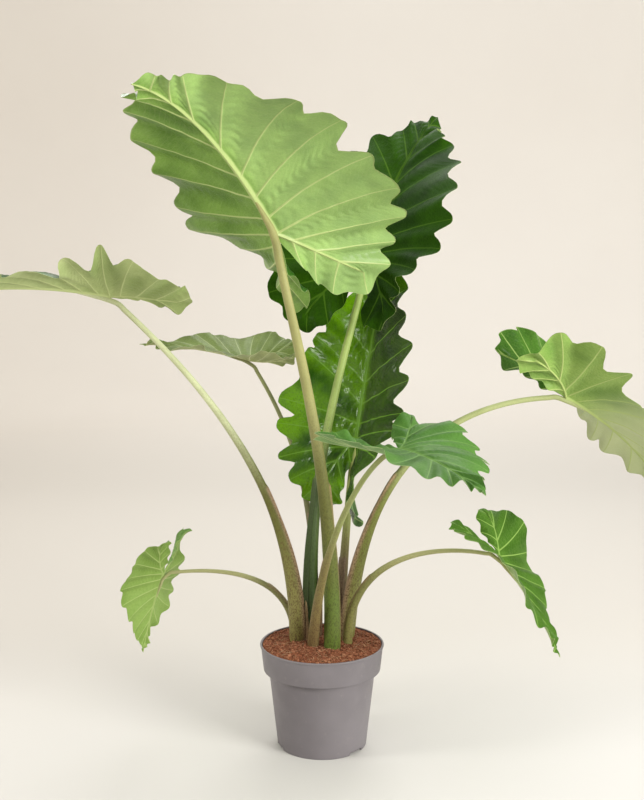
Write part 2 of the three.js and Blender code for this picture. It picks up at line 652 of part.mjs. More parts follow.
function aboveBlade(leaf) {
  // a block whose lower face is the plane just under the midrib at the top of the stalk
  const { tip, up, right } = bladeAxes(leaf);
  const block = new THREE.BoxGeometry(80, 80, TRIM_BLOCK);
  const turn = new THREE.Matrix4().makeBasis(tip, right.clone().negate(), up);
  const lift = TRIM_BLOCK / 2 - SHEET / 2 - MIDRIB - CLEARANCE;
  const centre = new THREE.Vector3(...leaf.at).addScaledVector(up, lift);
  return block.applyMatrix4(turn).translate(...centre.toArray());
}

function stalkGeometry(leaf) {
  // the stalk ends just under its blade's midrib
  const whole = toSolid(stalkLoft(leaf, 0));
  const blade = toSolid(bladeGeometry(leaf, 1.5 * CLEARANCE));
  return fromSolid(largestPiece(whole.subtract(toSolid(aboveBlade(leaf))).subtract(blade)));
}

// ---------- the whole plant ----------

function part(name, geometry, colour, roughness) {
  const material = new THREE.MeshStandardMaterial({ color: colour, roughness, metalness: 0 });
  const mesh = new THREE.Mesh(geometry, material);
  mesh.name = name;
  return mesh;
}

const plant = new THREE.Group();
plant.add(part('pot', potGeometry(), COLOURS.pot, 0.6));
plant.add(part('rootstock', rootGeometry(0), COLOURS.rootstock, 0.9));
const holes = LEAVES.map((leaf) => stalkLoft(leaf, CLEARANCE));
plant.add(part('soil', soilGeometry([rootGeometry(CLEARANCE), ...holes]), COLOURS.soil, 1));
for (const leaf of LEAVES) {
  const dark = leaf.name === 'high_right';
  const pale = leaf.name.startsWith('low');
  const stalkColour = pale ? COLOURS.paleStalk : COLOURS.stalk;
  plant.add(part(`stalk_${leaf.name}`, stalkGeometry(leaf), stalkColour, 0.55));
  const leafColour = dark ? COLOURS.darkLeaf : COLOURS.leaf;
  plant.add(part(`leaf_${leaf.name}`, bladeGeometry(leaf), leafColour, 0.45));
}

export default plant;
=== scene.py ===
# %% [markdown]
# # A potted alocasia, from a fixed frame to a finished plant
# The CAD model gives the frame: a nursery pot, its soil, a buried rootstock, and nine
# stalks that each carry one arrow-shaped leaf. Here every visible piece is made again as
# a fine surface worked out with numpy, in the same place and size, and gets the finish
# of the real one. Lengths are in metres; values written in millimetres are times MM.

# %% The frame
import bpy
import numpy as np
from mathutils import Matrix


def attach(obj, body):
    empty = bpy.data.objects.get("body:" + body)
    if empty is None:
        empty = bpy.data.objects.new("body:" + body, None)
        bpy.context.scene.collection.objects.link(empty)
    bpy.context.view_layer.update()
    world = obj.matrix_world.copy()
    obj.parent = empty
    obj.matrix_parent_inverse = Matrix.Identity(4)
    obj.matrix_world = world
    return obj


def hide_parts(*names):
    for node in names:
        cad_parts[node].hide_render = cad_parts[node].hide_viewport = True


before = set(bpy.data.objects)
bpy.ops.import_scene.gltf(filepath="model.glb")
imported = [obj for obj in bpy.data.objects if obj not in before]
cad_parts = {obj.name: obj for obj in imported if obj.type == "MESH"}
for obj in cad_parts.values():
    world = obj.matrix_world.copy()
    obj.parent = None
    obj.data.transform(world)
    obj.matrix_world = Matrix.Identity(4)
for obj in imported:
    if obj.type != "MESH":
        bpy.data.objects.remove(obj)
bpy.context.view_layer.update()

MM = 0.001
WELD = 0.002  # mm within which points are one

# %% [markdown]
# ## From a grid of points to a mesh
# A leaf, a stalk and a pot are all one idea: a sheet of points in rows and columns.
# They could be modelled by hand and subdivided, but a real leaf is a rule (veins,
# notches, folds), and a rule is easiest to keep exact as a formula on a grid. These
# helpers turn grids into triangles, weld the seams, and keep values on the corners.

# %% Grid helpers
def smooth(x):
    """0 below 0, 1 above 1, and 3x^2 - 2x^3 in between."""
    x = np.clip(x, 0.0, 1.0)
    return x * x * (3.0 - 2.0 * x)


def unit(vectors, least=0.0):
    """The vectors at length 1. Lengths below least count as least."""
    return vectors / np.maximum(np.linalg.norm(vectors, axis=-1, keepdims=True), least)


def length_along(points):
    """How far along the path each of its points lies."""
    steps = np.linalg.norm(np.diff(points, axis=0), axis=1)
    return np.concatenate([[0], np.cumsum(steps)])


def sampled(at, along, values):
    """Every column of values, whose rows lie at along, read at other places."""
    return np.stack([np.interp(at, along, column) for column in values.T], -1)


def grid_faces(rows, columns, ring=False, flip=False):
    """Two triangles for each cell of a rows x columns grid, as indices into the flattened
    grid. With ring, the last column joins the first."""
    index = np.arange(rows * columns).reshape(rows, columns)
    if ring:
        index = np.column_stack([index, index[:, :1]])
    a, b, c, d = index[:-1, :-1], index[:-1, 1:], index[1:, 1:], index[1:, :-1]
    faces = np.concatenate([
        np.stack([a, b, c], -1).reshape(-1, 3),
        np.stack([a, c, d], -1).reshape(-1, 3),
    ])
    return faces[:, ::-1] if flip else faces


def new_piece(name, grids, materials, backdrop=False):
    """One closed mesh from several grids. Each grid is a dict: points (rows, columns, 3),
    ring, flip, slot (material number), uv (rows, columns, 2), marks {name: values}.
    Points that meet are welded, and triangles that lose a corner are dropped."""
    points, faces, slots, uvs, marks = [], [], [], [], {}
    start = 0
    for grid in grids:
        rows, columns = grid["points"].shape[:2]
        made = grid_faces(rows, columns, grid.get("ring", False), grid.get("flip", False))
        points.append(grid["points"].reshape(-1, 3))
        faces.append(made + start)
        slots.append(np.full(len(made), grid.get("slot", 0)))
        uvs.append(grid.get("uv", np.zeros((rows, columns, 2))).reshape(-1, 2))
        for key, values in grid.get("marks", {}).items():
            marks.setdefault(key, []).append(np.broadcast_to(values, (rows, columns)).ravel())
        start += rows * columns
    points, faces, slots = np.concatenate(points), np.concatenate(faces), np.concatenate(slots)
    keys = np.round(points / (WELD * MM)).astype(np.int64)
    _, first, which = np.unique(keys, axis=0, return_index=True, return_inverse=True)
    which = which.reshape(-1)
    welded = which[faces]
    kept = ((welded[:, 0] != welded[:, 1]) & (welded[:, 1] != welded[:, 2])
            & (welded[:, 2] != welded[:, 0]))
    faces, welded, slots = faces[kept], welded[kept], slots[kept]
    mesh = bpy.data.meshes.new(name)
    mesh.vertices.add(len(first))
    mesh.vertices.foreach_set("co", points[first].ravel().astype(np.float32))
    mesh.loops.add(welded.size)
    mesh.loops.foreach_set("vertex_index", welded.ravel().astype(np.int32))
    mesh.polygons.add(len(welded))
    mesh.polygons.foreach_set("loop_start", np.arange(0, welded.size, 3, dtype=np.int32))
    for material in materials:
        mesh.materials.append(material)
    mesh.polygons.foreach_set("material_index", slots.astype(np.int32))
    mesh.update(calc_edges=True)
    corners = faces.ravel()
    layer = mesh.uv_layers.new(name="flat")
    layer.data.foreach_set("uv", np.concatenate(uvs)[corners].ravel().astype(np.float32))
    for key, values in marks.items():
        mark = mesh.attributes.new(key, "FLOAT", "CORNER")
        mark.data.foreach_set("value", np.concatenate(values)[corners].astype(np.float32))
    mesh.shade_smooth()
    piece = bpy.data.objects.new(name, mesh)
    bpy.context.scene.collection.objects.link(piece)
    if backdrop:
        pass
    else:
        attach(piece, "root")
    print(f"{name}: {len(welded)} triangles")
    return piece


def patchy(x, y, size, seed):
    """Smooth random heights from -1 to 1 in patches about size across: seeded numbers on
    a square lattice, which repeats, blended between its corners by smooth weights."""
    cells = 61
    lattice = np.random.default_rng(seed).uniform(-1.0, 1.0, (cells, cells))
    u, v = np.asarray(x) / size, np.asarray(y) / size
    i, j = np.floor(u).astype(int), np.floor(v).astype(int)
    s, t = smooth(u - i), smooth(v - j)
    near, far = (lattice[k % cells, j % cells] * (1 - t) + lattice[k % cells, (j + 1) % cells] * t
                 for k in (i, i + 1))
    return near * (1 - s) + far * s


# %% [markdown]
# ## Materials as node graphs
# Every finish here is procedural: noise and bands that read Object coordinates, the
# piece's own UV map, or values kept on its corners. These helpers only make such graphs
# shorter to write.

# %% Material helpers
def colour(red, green, blue):
    """A screen colour of 0 to 255 values as the linear colour a shader takes."""
    c = np.array([red, green, blue]) / 255.0
    linear = np.where(c <= 0.04045, c / 12.92, ((c + 0.055) / 1.055) ** 2.4)
    return (*linear.tolist(), 1.0)


def new_material(name, roughness, specular=0.5):
    """A material with one Principled shader, and the tree and shader to work on."""
    material = bpy.data.materials.new(name)
    material.use_nodes = True
    tree = material.node_tree
    skin = tree.nodes["Principled BSDF"]
    skin.inputs["Roughness"].default_value = roughness
    skin.inputs["Specular IOR Level"].default_value = specular
    return material, tree, skin


def add(tree, kind, inputs=None, **settings):
    """Adds a node. A socket given as input is linked; any other value is a constant."""
    made = tree.nodes.new(kind)
    for key, value in settings.items():
        setattr(made, key, value)
    for key, value in (inputs or {}).items():
        if isinstance(value, bpy.types.NodeSocket):
            tree.links.new(value, made.inputs[key])
        else:
            made.inputs[key].default_value = value
    return made


def here(tree):
    """Object coordinates: they stay on the piece whatever looks at it."""
    return add(tree, "ShaderNodeTexCoord").outputs["Object"]


def mark(tree, name):
    """A value kept on the piece's corners."""
    return add(tree, "ShaderNodeAttribute", attribute_name=name).outputs["Fac"]


def flat_map(tree):
    """The piece's own UV map."""
    return add(tree, "ShaderNodeUVMap", uv_map="flat").outputs["UV"]


def axes_of(tree, vector):
    """The X, Y and Z of a vector, as sockets."""
    return add(tree, "ShaderNodeSeparateXYZ", {0: vector}).outputs


def stretched(tree, vector, scale):
    """Coordinates scaled by a number for each axis, for streaks and bands."""
    return add(tree, "ShaderNodeMapping", {"Vector": vector, "Scale": scale}).outputs[0]


def noise(tree, vector, scale, detail=3.0, rough=0.5):
    """Noise of about 0.3 to 0.7, with patches about 1 / scale across."""
    return add(tree, "ShaderNodeTexNoise", {
        "Vector": vector, "Scale": scale, "Detail": detail, "Roughness": rough,
    }).outputs["Fac"]


def sums(tree, operation, a, b=0.0):
    """One Math node."""
    return add(tree, "ShaderNodeMath", {0: a, 1: b}, operation=operation).outputs[0]


def times(tree, a, b):
    """The product of two values."""
    return sums(tree, "MULTIPLY", a, b)


def between(tree, value, low, high, to_low=0.0, to_high=1.0):
    """A smooth step of value from low to high."""
    return add(tree, "ShaderNodeMapRange", {
        "Value": value, "From Min": low, "From Max": high, "To Min": to_low, "To Max": to_high,
    }, interpolation_type="SMOOTHSTEP").outputs["Result"]


def blend(tree, share, first, second):
    """First colour where share is 0, second where it is 1. Inputs 6 and 7 and output 2 of
    a Mix node are the ones for colours."""
    return add(tree, "ShaderNodeMix", {0: share, 6: first, 7: second},
               data_type="RGBA").outputs[2]


def paint(tree, skin, tone):
    """Links the finished colour to the shader."""
    tree.links.new(tone, skin.inputs["Base Color"])


def bumps(tree, skin, heights):
    """Chains bump nodes: each entry is a height socket, a depth in metres and a strength."""
    normal = None
    for height, depth, strength in heights:
        inputs = {"Height": height, "Distance": depth, "Strength": strength}
        if normal is not None:
            inputs["Normal"] = normal
        normal = add(tree, "ShaderNodeBump", inputs).outputs["Normal"]
    tree.links.new(normal, skin.inputs["Normal"])


# %% [markdown]
# ## Camera, backdrop and light
# The photograph is a studio shot on a seamless cream sweep, lit by large soft sources
# with the right one a little stronger, so shadows are faint. A flat plane and a wall
# would show a seam, so floor and wall are one bowl whose side rises in a quarter circle.
# The paper's tones are painted shade: they darken it with X and Y, so that floor and wall
# match the photograph's from the front. Seen from behind, that leaves the middle of the floor
# brighter than the rest.

# %% Camera
CAMERA_PLACE = (0.0, -2.09, 0.92)
CAMERA_DROP = 0.117  # radians below level
WARM_WHITE = (1.0, 0.99, 0.97)

camera_data = bpy.data.cameras.new("camera")
camera_data.lens = 50.0
camera_data.sensor_width = 36.0
camera = bpy.data.objects.new("camera", camera_data)
camera.location = CAMERA_PLACE
camera.rotation_euler = (np.pi / 2 - CAMERA_DROP, 0.0, 0.0)
bpy.context.scene.collection.objects.link(camera)
bpy.context.scene.camera = camera
bpy.context.scene.view_settings.view_transform = "Standard"

# %% The sweep
SWEEP_FLOOR = 4.6
SWEEP_CURVE = 2.2
SWEEP_WALL = 2.4
PAINTED_PAPER_SHADE = [
    # axis, where the painted shade is full and where it has gone (m), its share, its colour
    ("Y", 2.4, 5.2, 1.0, (200, 196, 189)),
    ("Y", -0.1, 0.8, 1.0, (205, 203, 199)),
    ("X", -2.6, 0.6, 0.32, (198, 186, 170)),
]


def sweep_grid(sides=96):
    """Flat disc, quarter circle, then a wall: radius and height of each ring."""
    turn = np.linspace(0.0, np.pi / 2, 24)
    radius = np.concatenate([[0.0, 1.5, 3.0], SWEEP_FLOOR + SWEEP_CURVE * np.sin(turn),
                             [SWEEP_FLOOR + SWEEP_CURVE]])
    height = np.concatenate([[0.0, 0.0, 0.0], SWEEP_CURVE * (1 - np.cos(turn)),
                             [SWEEP_CURVE + SWEEP_WALL]])
    angle = np.linspace(0.0, 2 * np.pi, sides, endpoint=False)
    points = np.stack([np.outer(radius, np.cos(angle)), np.outer(radius, np.sin(angle)),
                       np.broadcast_to(height[:, None], (len(height), sides))], -1)
    return points


paper, tree, skin = new_material("sweep_paper", 0.95, 0.1)
cream = blend(tree, noise(tree, here(tree), 1.3), colour(243, 238, 231), colour(247, 243, 236))
# painted shade: the paper is darkened towards each tone along X or Y
for axis, full, gone, share, tone in PAINTED_PAPER_SHADE:
    reach = between(tree, axes_of(tree, here(tree))[axis], full, gone, share, 0.0)
    cream = blend(tree, reach, cream, colour(*tone))
paint(tree, skin, cream)
sweep = new_piece("sweep", [{"points": sweep_grid(), "ring": True}], [paper], backdrop=True)

# %% Lights
def soft_box(name, place, aim, size, watts, tint):
    """A square area light at place, turned to face aim, not seen by the camera."""
    data = bpy.data.lights.new(name, "AREA")
    data.shape = "SQUARE"
    data.size = size
    data.energy = watts
    data.color = tint
    lamp = bpy.data.objects.new(name, data)
    way = np.array(aim) - np.array(place)
    yaw = np.arctan2(way[1], way[0])
    drop = np.arctan2(np.hypot(way[0], way[1]), -way[2])
    lamp.location = place
    lamp.rotation_euler = (drop, 0.0, yaw - np.pi / 2)
    lamp.visible_camera = False
    bpy.context.scene.collection.objects.link(lamp)
    return lamp


soft_box("light_right", (2.3, -1.9, 1.3), (0.0, 0.0, 0.7), 1.4, 105.0, WARM_WHITE)
soft_box("light_left", (-2.7, -0.7, 1.5), (0.0, 0.0, 0.7), 0.7, 32.0, (1.0, 0.985, 0.965))
soft_box("light_back", (0.4, 2.6, 3.0), (0.0, 0.0, 0.8), 2.0, 50.0, WARM_WHITE)
world = bpy.data.worlds.new("studio")
world.use_nodes = True
world.node_tree.nodes["Background"].inputs["Color"].default_value = (*WARM_WHITE, 1.0)
world.node_tree.nodes["Background"].inputs["Strength"].default_value = 1.05
bpy.context.scene.world = world

# %% [markdown]
# ## The pot
# A 24 cm nursery pot of injection-moulded plastic: a drafted body, a wide collar below a
# small bead at the rim, and a foot ring with three gaps that let water out. Spinning a
# profile with the Screw modifier would do, but the foot's gaps and drain holes then need
# booleans, so the surface of revolution is worked out directly and its foot is raised.

# %% Pot profile
POT_HEIGHT = 200.0
RIM_RADIUS = 120.0
LIP_HEIGHT = 4.0
LIP_OUT = 1.6
BAND_HEIGHT = 50.0
BAND_FOOT_RADIUS = 113.4
BODY_TOP_RADIUS = 103.0
FOOT_RADIUS = 86.5
WALL = 2.2
FLOOR = 2.6
FOOT_WIDTH = 6.5
CHANNEL_HEIGHT = 6.0
DISC_RADIUS = 58.0
DRAIN_HOLES = 6
DRAIN_HOLE_RADIUS = 5.0
NOTCHES = 3
NOTCH_WIDTH = 34.0
NOTCH_HEIGHT = 5.6
NOTCH_TURN = -41.0  # degrees from +X to the gap at the front right
CORNER = 1.1  # mm by which the profile's corners are cut back
LONGEST_SIDE = 2.2


def cavity(inset):
    """The inside of the pot from its floor up to the rim, drawn in by the inset."""
    band_foot = POT_HEIGHT - BAND_HEIGHT
    raised = CHANNEL_HEIGHT + FLOOR + inset
    rise = (BODY_TOP_RADIUS - FOOT_RADIUS) / (band_foot - 2)
    return np.array([
        [DISC_RADIUS - 3 - inset, FLOOR + inset],
        [DISC_RADIUS - 1 - inset, raised],
        [FOOT_RADIUS - WALL + rise * raised - inset, raised],
        [BODY_TOP_RADIUS - WALL - inset, band_foot + WALL + inset],
        [BAND_FOOT_RADIUS - WALL - inset, band_foot + WALL + inset],
        [RIM_RADIUS - LIP_OUT - WALL - inset, POT_HEIGHT - LIP_HEIGHT],
    ])


def pot_profile():
    """Radius and height in mm, from the middle of the foot out, up, over the rim and in."""
    band_foot = POT_HEIGHT - BAND_HEIGHT
    lip_foot = POT_HEIGHT - LIP_HEIGHT
    channel = FOOT_RADIUS - FOOT_WIDTH
    outside = np.array([
        [0, 0],
        [DISC_RADIUS, 0],
        [DISC_RADIUS + 2, CHANNEL_HEIGHT],
        [channel - 1, CHANNEL_HEIGHT],
        [channel, 0],
        [FOOT_RADIUS, 0],
        [BODY_TOP_RADIUS, band_foot - 2],
        [BODY_TOP_RADIUS + 1, band_foot],
        [BAND_FOOT_RADIUS, band_foot],
        [RIM_RADIUS - LIP_OUT, lip_foot],
        [RIM_RADIUS, lip_foot + 0.8],
        [RIM_RADIUS, POT_HEIGHT - 0.8],
        [RIM_RADIUS - 0.8, POT_HEIGHT],
        [RIM_RADIUS - LIP_OUT - WALL, POT_HEIGHT],
    ])
    return np.concatenate([outside, cavity(0)[::-1], [[0, FLOOR]]])


def rounded(profile, radius, steps=5):
    """Each inner corner becomes a short curve that leaves one side radius before the
    corner and joins the next as far after it: (1-t)^2 before + 2t(1-t) corner + t^2 after."""
    corner = profile[1:-1]
    back, ahead = profile[:-2] - corner, profile[2:] - corner
    back_length = np.linalg.norm(back, axis=1, keepdims=True)
    ahead_length = np.linalg.norm(ahead, axis=1, keepdims=True)
    cut = np.minimum(radius, 0.4 * np.minimum(back_length, ahead_length))
    before = (corner + back / back_length * cut)[:, None]
    after = (corner + ahead / ahead_length * cut)[:, None]
    t = np.linspace(0.0, 1.0, steps)[None, :, None]
    arcs = (1 - t) ** 2 * before + 2 * t * (1 - t) * corner[:, None] + t ** 2 * after
    return np.concatenate([profile[:1], arcs.reshape(-1, 2), profile[-1:]])


def filled(profile, longest):
    """Points added along each side, so that no side is longer than this."""
    steps = np.maximum(1, np.ceil(np.linalg.norm(np.diff(profile, axis=0), axis=1) / longest))
    place = np.repeat(np.arange(len(steps)), steps.astype(int)).astype(float)
    first = np.concatenate([[0], np.cumsum(steps)[:-1]])
    place += (np.arange(len(place)) - np.repeat(first, steps.astype(int))) / np.repeat(
        steps, steps.astype(int))
    place = np.append(place, len(steps))
    return sampled(place, np.arange(len(profile)), profile)


# %% Pot surface
def turned(profile, sides):
    """Each profile point goes round the axis: (r cos a, r sin a, z), in metres."""
    angle = np.linspace(0.0, 2 * np.pi, sides, endpoint=False)
    r, z = profile[:, :1] * MM, profile[:, 1:] * MM
    return np.stack([r * np.cos(angle), r * np.sin(angle), z + 0 * angle], -1), angle


def nearest_turn(angle, count, first):
    """Angle from each direction to the nearest of count equally spaced ones."""
    step = 2 * np.pi / count
    return (angle - np.radians(first) + step / 2) % step - step / 2


def pot_grid(sides=280):
    """The turned profile, its foot ring raised to the notch height within each gap, and
    its channel pushed up to the soil inside each drain hole."""
    profile = filled(rounded(pot_profile(), CORNER), LONGEST_SIDE)
    points, angle = turned(profile, sides)
    r, z = np.hypot(points[..., 0], points[..., 1]) / MM, points[..., 2] / MM
    sideways = np.abs(r * np.sin(nearest_turn(angle, NOTCHES, NOTCH_TURN)))
    in_gap = smooth((NOTCH_WIDTH / 2 - sideways) / 1.6 + 0.5)
    under = (r > FOOT_RADIUS - FOOT_WIDTH - 1.5) & (z < NOTCH_HEIGHT)
    z = np.where(under, z + (NOTCH_HEIGHT - z) * in_gap, z)
    hole_turn = nearest_turn(angle, DRAIN_HOLES, NOTCH_TURN + 30)
    hole_at = (DISC_RADIUS + FOOT_RADIUS - FOOT_WIDTH) / 2 + 2
    from_hole = np.hypot(r * np.cos(hole_turn) - hole_at, r * np.sin(hole_turn))
    channel = (r > DISC_RADIUS) & (r < FOOT_RADIUS - FOOT_WIDTH) & (np.abs(z - 6) < 1)
    z = np.where(channel, z + 2.2 * smooth((DRAIN_HOLE_RADIUS - from_hole) / 0.8), z)
    points[..., 2] = z * MM
    length = length_along(profile)
    uv = np.stack(np.broadcast_arrays(angle[None] / (2 * np.pi), length[:, None] * MM), -1)
    return {"points": points, "ring": True, "uv": uv}


# %% [markdown]
# ### Moulded plastic
# Warm grey polypropylene is not one flat grey: it has a fine eggshell texture from the
# mould, faint vertical flow marks, dust, and lighter rubbed edges. A plain Principled
# shader with high roughness gives the body; noise at three scales gives the rest, all but
# the rubbed edges, which are not drawn.

# %% Pot material
def pot_plastic():
    """Grey plastic: drifting tone, dust, and a bump of mould grain and flow marks."""
    material, tree, skin = new_material("pot_plastic", 0.5, 0.4)
    place = here(tree)
    drift = noise(tree, place, 9.0, 3.0)
    grey = blend(tree, between(tree, drift, 0.3, 0.7), colour(110, 105, 108), colour(121, 116, 119))
    dust = between(tree, noise(tree, place, 60.0, 5.0, 0.7), 0.55, 0.8)
    grey = blend(tree, times(tree, dust, 0.2), grey, colour(166, 158, 152))
    paint(tree, skin, grey)
    tree.links.new(between(tree, noise(tree, place, 30.0, 4.0), 0.3, 0.7, 0.44, 0.6),
                   skin.inputs["Roughness"])
    grain = noise(tree, place, 900.0, 2.0, 0.6)
    flow = noise(tree, stretched(tree, place, (60.0, 60.0, 4.0)), 1.0, 2.0)
    bumps(tree, skin, [(grain, 0.12 * MM, 0.5), (flow, 0.15 * MM, 0.3)])
    return material


pot = new_piece("nursery_pot", [pot_grid()], [pot_plastic()])
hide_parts("pot")

# %% [markdown]
# ## The soil
# Reddish coir and bark crumbs, heaped a little towards the middle. A displaced disc
# alone looks like felt, because real crumbs shade each other, so the surface carries
# 1,700 loose crumbs and 320 pale fibres on top of its bumps. Its edge is higher here than
# in the CAD model, where it lies 193 mm up.

# %% Soil surface
SOIL_EDGE_HEIGHT = 197.6
SOIL_CROWN = 6.0
SOIL_LUMP = 1.2
SOIL_CLEARANCE = 0.3
SOIL_EDGE_RADIUS = 115.3
CRUMBS = 1700
FIBRES = 320


def soil_height(x, y):
    """Height in mm of the soil at x, y: the crown falling to the edge, broad lumps, then
    patches of 13, 5 and 2.4 mm."""
    r = np.hypot(x, y) / SOIL_EDGE_RADIUS
    crown = SOIL_CROWN * (1 - smooth(r) * (0.3 + 0.7 * r))
    lump = SOIL_LUMP * np.sin(0.11 * x + 1) * np.cos(0.13 * y - 0.05 * x)
    rough = (1.3 * patchy(x, y, 13.0, 11) + 0.9 * patchy(x + 40, y, 5.0, 12)
             + 0.7 * patchy(x, y + 70, 2.4, 13))
    return SOIL_EDGE_HEIGHT + crown + lump * (1 - r ** 4) + rough * (1 - 0.6 * r ** 8)


def soil_grid(sides=360, rings=130):
    """The cavity's inside drawn in by a small clearance, closed by a rough top in rings
    that are finer towards the edge, where they are widest."""
    sides_profile = cavity(SOIL_CLEARANCE)[:-1]
    foot = np.array([[0.0, FLOOR + SOIL_CLEARANCE]])
    edge = np.array([[SOIL_EDGE_RADIUS, SOIL_EDGE_HEIGHT - 3.0]])
    body, angle = turned(np.concatenate([foot, sides_profile, edge]), sides)
    r = SOIL_EDGE_RADIUS * np.linspace(1.0, 0.0, rings) ** 0.8
    x, y = np.outer(r, np.cos(angle)), np.outer(r, np.sin(angle))
    top = np.stack([x, y, soil_height(x, y)], -1) * MM
    return {"points": np.concatenate([body, top]), "ring": True}


# %% Crumbs and fibres
def scattered(rng, shape, inset):
    """Seeded places on the soil, as even per area, that keep inset mm from its edge."""
    r = (SOIL_EDGE_RADIUS - inset) * np.sqrt(rng.uniform(0, 1, shape))
    around = rng.uniform(0, 2 * np.pi, shape)
    return r * np.cos(around), r * np.sin(around)


def crumb_grids(count, seed):
    """Small closed lumps: an uneven ball of 5 rings and 6 sides, stretched, turned about
    Z and tipped, then set on the soil. All crumbs share one stack of arrays."""
    rng = np.random.default_rng(seed)
    polar = np.linspace(0.0, np.pi, 5)[None, :, None]
    round_ = np.linspace(0.0, 2 * np.pi, 6, endpoint=False)[None, None, :]
    uneven = 1 + 0.35 * rng.uniform(-1, 1, (count, 5, 6))
    uneven[:, [0, -1]] = 1.0
    size = rng.uniform(0.7, 1.5, (count, 1, 1)) * rng.choice([1.0, 1.5, 2.3], (count, 1, 1),
                                                             p=[0.62, 0.28, 0.10])
    long, flat = rng.uniform(1.0, 1.9, (2, count, 1, 1))
    x = uneven * size * long * np.sin(polar) * np.cos(round_)
    y = uneven * size * np.sin(polar) * np.sin(round_)
    z = -uneven * size / flat * np.cos(polar)
    tip, turn = rng.uniform(-0.6, 0.6, (count, 1, 1)), rng.uniform(0, 2 * np.pi, (count, 1, 1))
    x, z = x * np.cos(tip) - z * np.sin(tip), x * np.sin(tip) + z * np.cos(tip)
    x, y = x * np.cos(turn) - y * np.sin(turn), x * np.sin(turn) + y * np.cos(turn)
    cx, cy = scattered(rng, (count, 1, 1), 2.5)
    points = np.stack([x + cx, y + cy, z + soil_height(cx, cy) + 0.35 * size], -1) * MM
    shade = rng.uniform(0, 1, (count, 1, 1)) * np.ones((1, 5, 6))
    return [{"points": p, "ring": True, "marks": {"shade": s}} for p, s in zip(points, shade)]


def fibre_grids(count, seed):
    """Thin bent tubes: a path that turns steadily on the soil and arches over it, with
    four sides and pointed ends."""
    rng = np.random.default_rng(seed)
    step = np.linspace(0.0, 1.0, 9)[None, :]
    length = rng.uniform(7, 24, (count, 1))
    heading = rng.uniform(0, 2 * np.pi, (count, 1)) + rng.uniform(-1.6, 1.6, (count, 1)) * step
    x, y = scattered(rng, (count, 1), 12)
    x = x + np.cumsum(np.cos(heading), 1) * length / 9
    y = y + np.cumsum(np.sin(heading), 1) * length / 9
    off = np.minimum(1.0, (SOIL_EDGE_RADIUS - 2) / np.hypot(x, y))
    x, y = x * off, y * off
    z = soil_height(x, y) + 0.6 + rng.uniform(0.3, 3.0, (count, 1)) * np.sin(np.pi * step)
    thick = rng.uniform(0.16, 0.34, (count, 1)) * np.sin(np.pi * np.clip(step, 0.03, 0.97)) ** 0.3
    thick[:, [0, -1]] = 0.0
    side = np.array([1.0, 0.0, -1.0, 0.0])[None, None, :]
    upward = np.array([0.0, 1.0, 0.0, -1.0])[None, None, :]
    points = np.stack([
        x[..., None] - thick[..., None] * side * np.sin(heading)[..., None],
        y[..., None] + thick[..., None] * side * np.cos(heading)[..., None],
        z[..., None] + thick[..., None] * upward], -1) * MM
    shade = rng.uniform(0, 1, (count, 1, 1)) * np.ones((1, 9, 4))
    return [{"points": p, "ring": True, "flip": True, "marks": {"shade": s}}
            for p, s in zip(points, shade)]


# %% [markdown]
# ### Soil, crumb and fibre finishes
# Coir is dry and dull, so roughness is near one and the colour does the work: a dark tone
# painted as shade in the gaps, red-brown bodies and paler dust, mixed by noise of crumb size.

# %% Soil materials
def soil_earth(name, dark, mid, pale, by_piece):
    """Dull earth of three tones. With by_piece, each crumb's own shade tones it too."""
    material, tree, skin = new_material(name, 0.95, 0.2)
    place = here(tree)
    grains = noise(tree, place, 420.0, 4.0, 0.7)
    # the dark tone where grain noise is low is painted shade for the gaps between grains
    tone = blend(tree, between(tree, grains, 0.34, 0.56), dark, mid)
    clods = between(tree, noise(tree, place, 130.0, 3.0, 0.6), 0.5, 0.74)
    tone = blend(tree, times(tree, clods, 0.6), tone, pale)
    if by_piece:
        tone = blend(tree, times(tree, mark(tree, "shade"), 0.6), tone,
                     blend(tree, mark(tree, "shade"), dark, pale))
    paint(tree, skin, tone)
    bumps(tree, skin, [(grains, 1.4 * MM, 0.9)])
    return material


soil_top = soil_earth("soil_coir", colour(74, 42, 28), colour(140, 84, 58), colour(164, 108, 78),
                      False)
crumb_bark = soil_earth("soil_crumb", colour(80, 46, 32), colour(144, 88, 62),
                        colour(178, 124, 92), True)
fibre_coir = soil_earth("soil_fibre", colour(150, 108, 76), colour(186, 146, 108),
                        colour(216, 186, 150), True)
soil = new_piece("soil_body", [soil_grid()], [soil_top])
crumbs = new_piece("soil_crumbs", crumb_grids(CRUMBS, 3), [crumb_bark])
fibres = new_piece("soil_fibres", fibre_grids(FIBRES, 5), [fibre_coir])
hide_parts("soil")

# %% [markdown]
# ## The rootstock
# It stays as the CAD made it, since the soil hides it. It still gets the corky brown
# finish of a real rhizome, with leaf-scar rings.

# %% Rootstock material
def rootstock_cork():
    """Corky brown with uneven rings, which also stand out as bumps."""
    material, tree, skin = new_material("rootstock_cork", 0.85, 0.25)
    place = here(tree)
    rings = add(tree, "ShaderNodeTexWave", {
        "Vector": place, "Scale": 28.0, "Distortion": 5.0, "Detail": 3.0},
        bands_direction="Z").outputs["Fac"]
    tone = blend(tree, rings, colour(84, 58, 38), colour(142, 108, 76))
    tone = blend(tree, between(tree, noise(tree, place, 160.0, 4.0), 0.4, 0.7), tone,
                 colour(112, 84, 58))
    paint(tree, skin, tone)
    bumps(tree, skin, [(rings, 1.2 * MM, 0.7), (noise(tree, place, 500.0), 0.5 * MM, 0.5)])
    return material


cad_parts["rootstock"].material_slots[0].material = rootstock_cork()

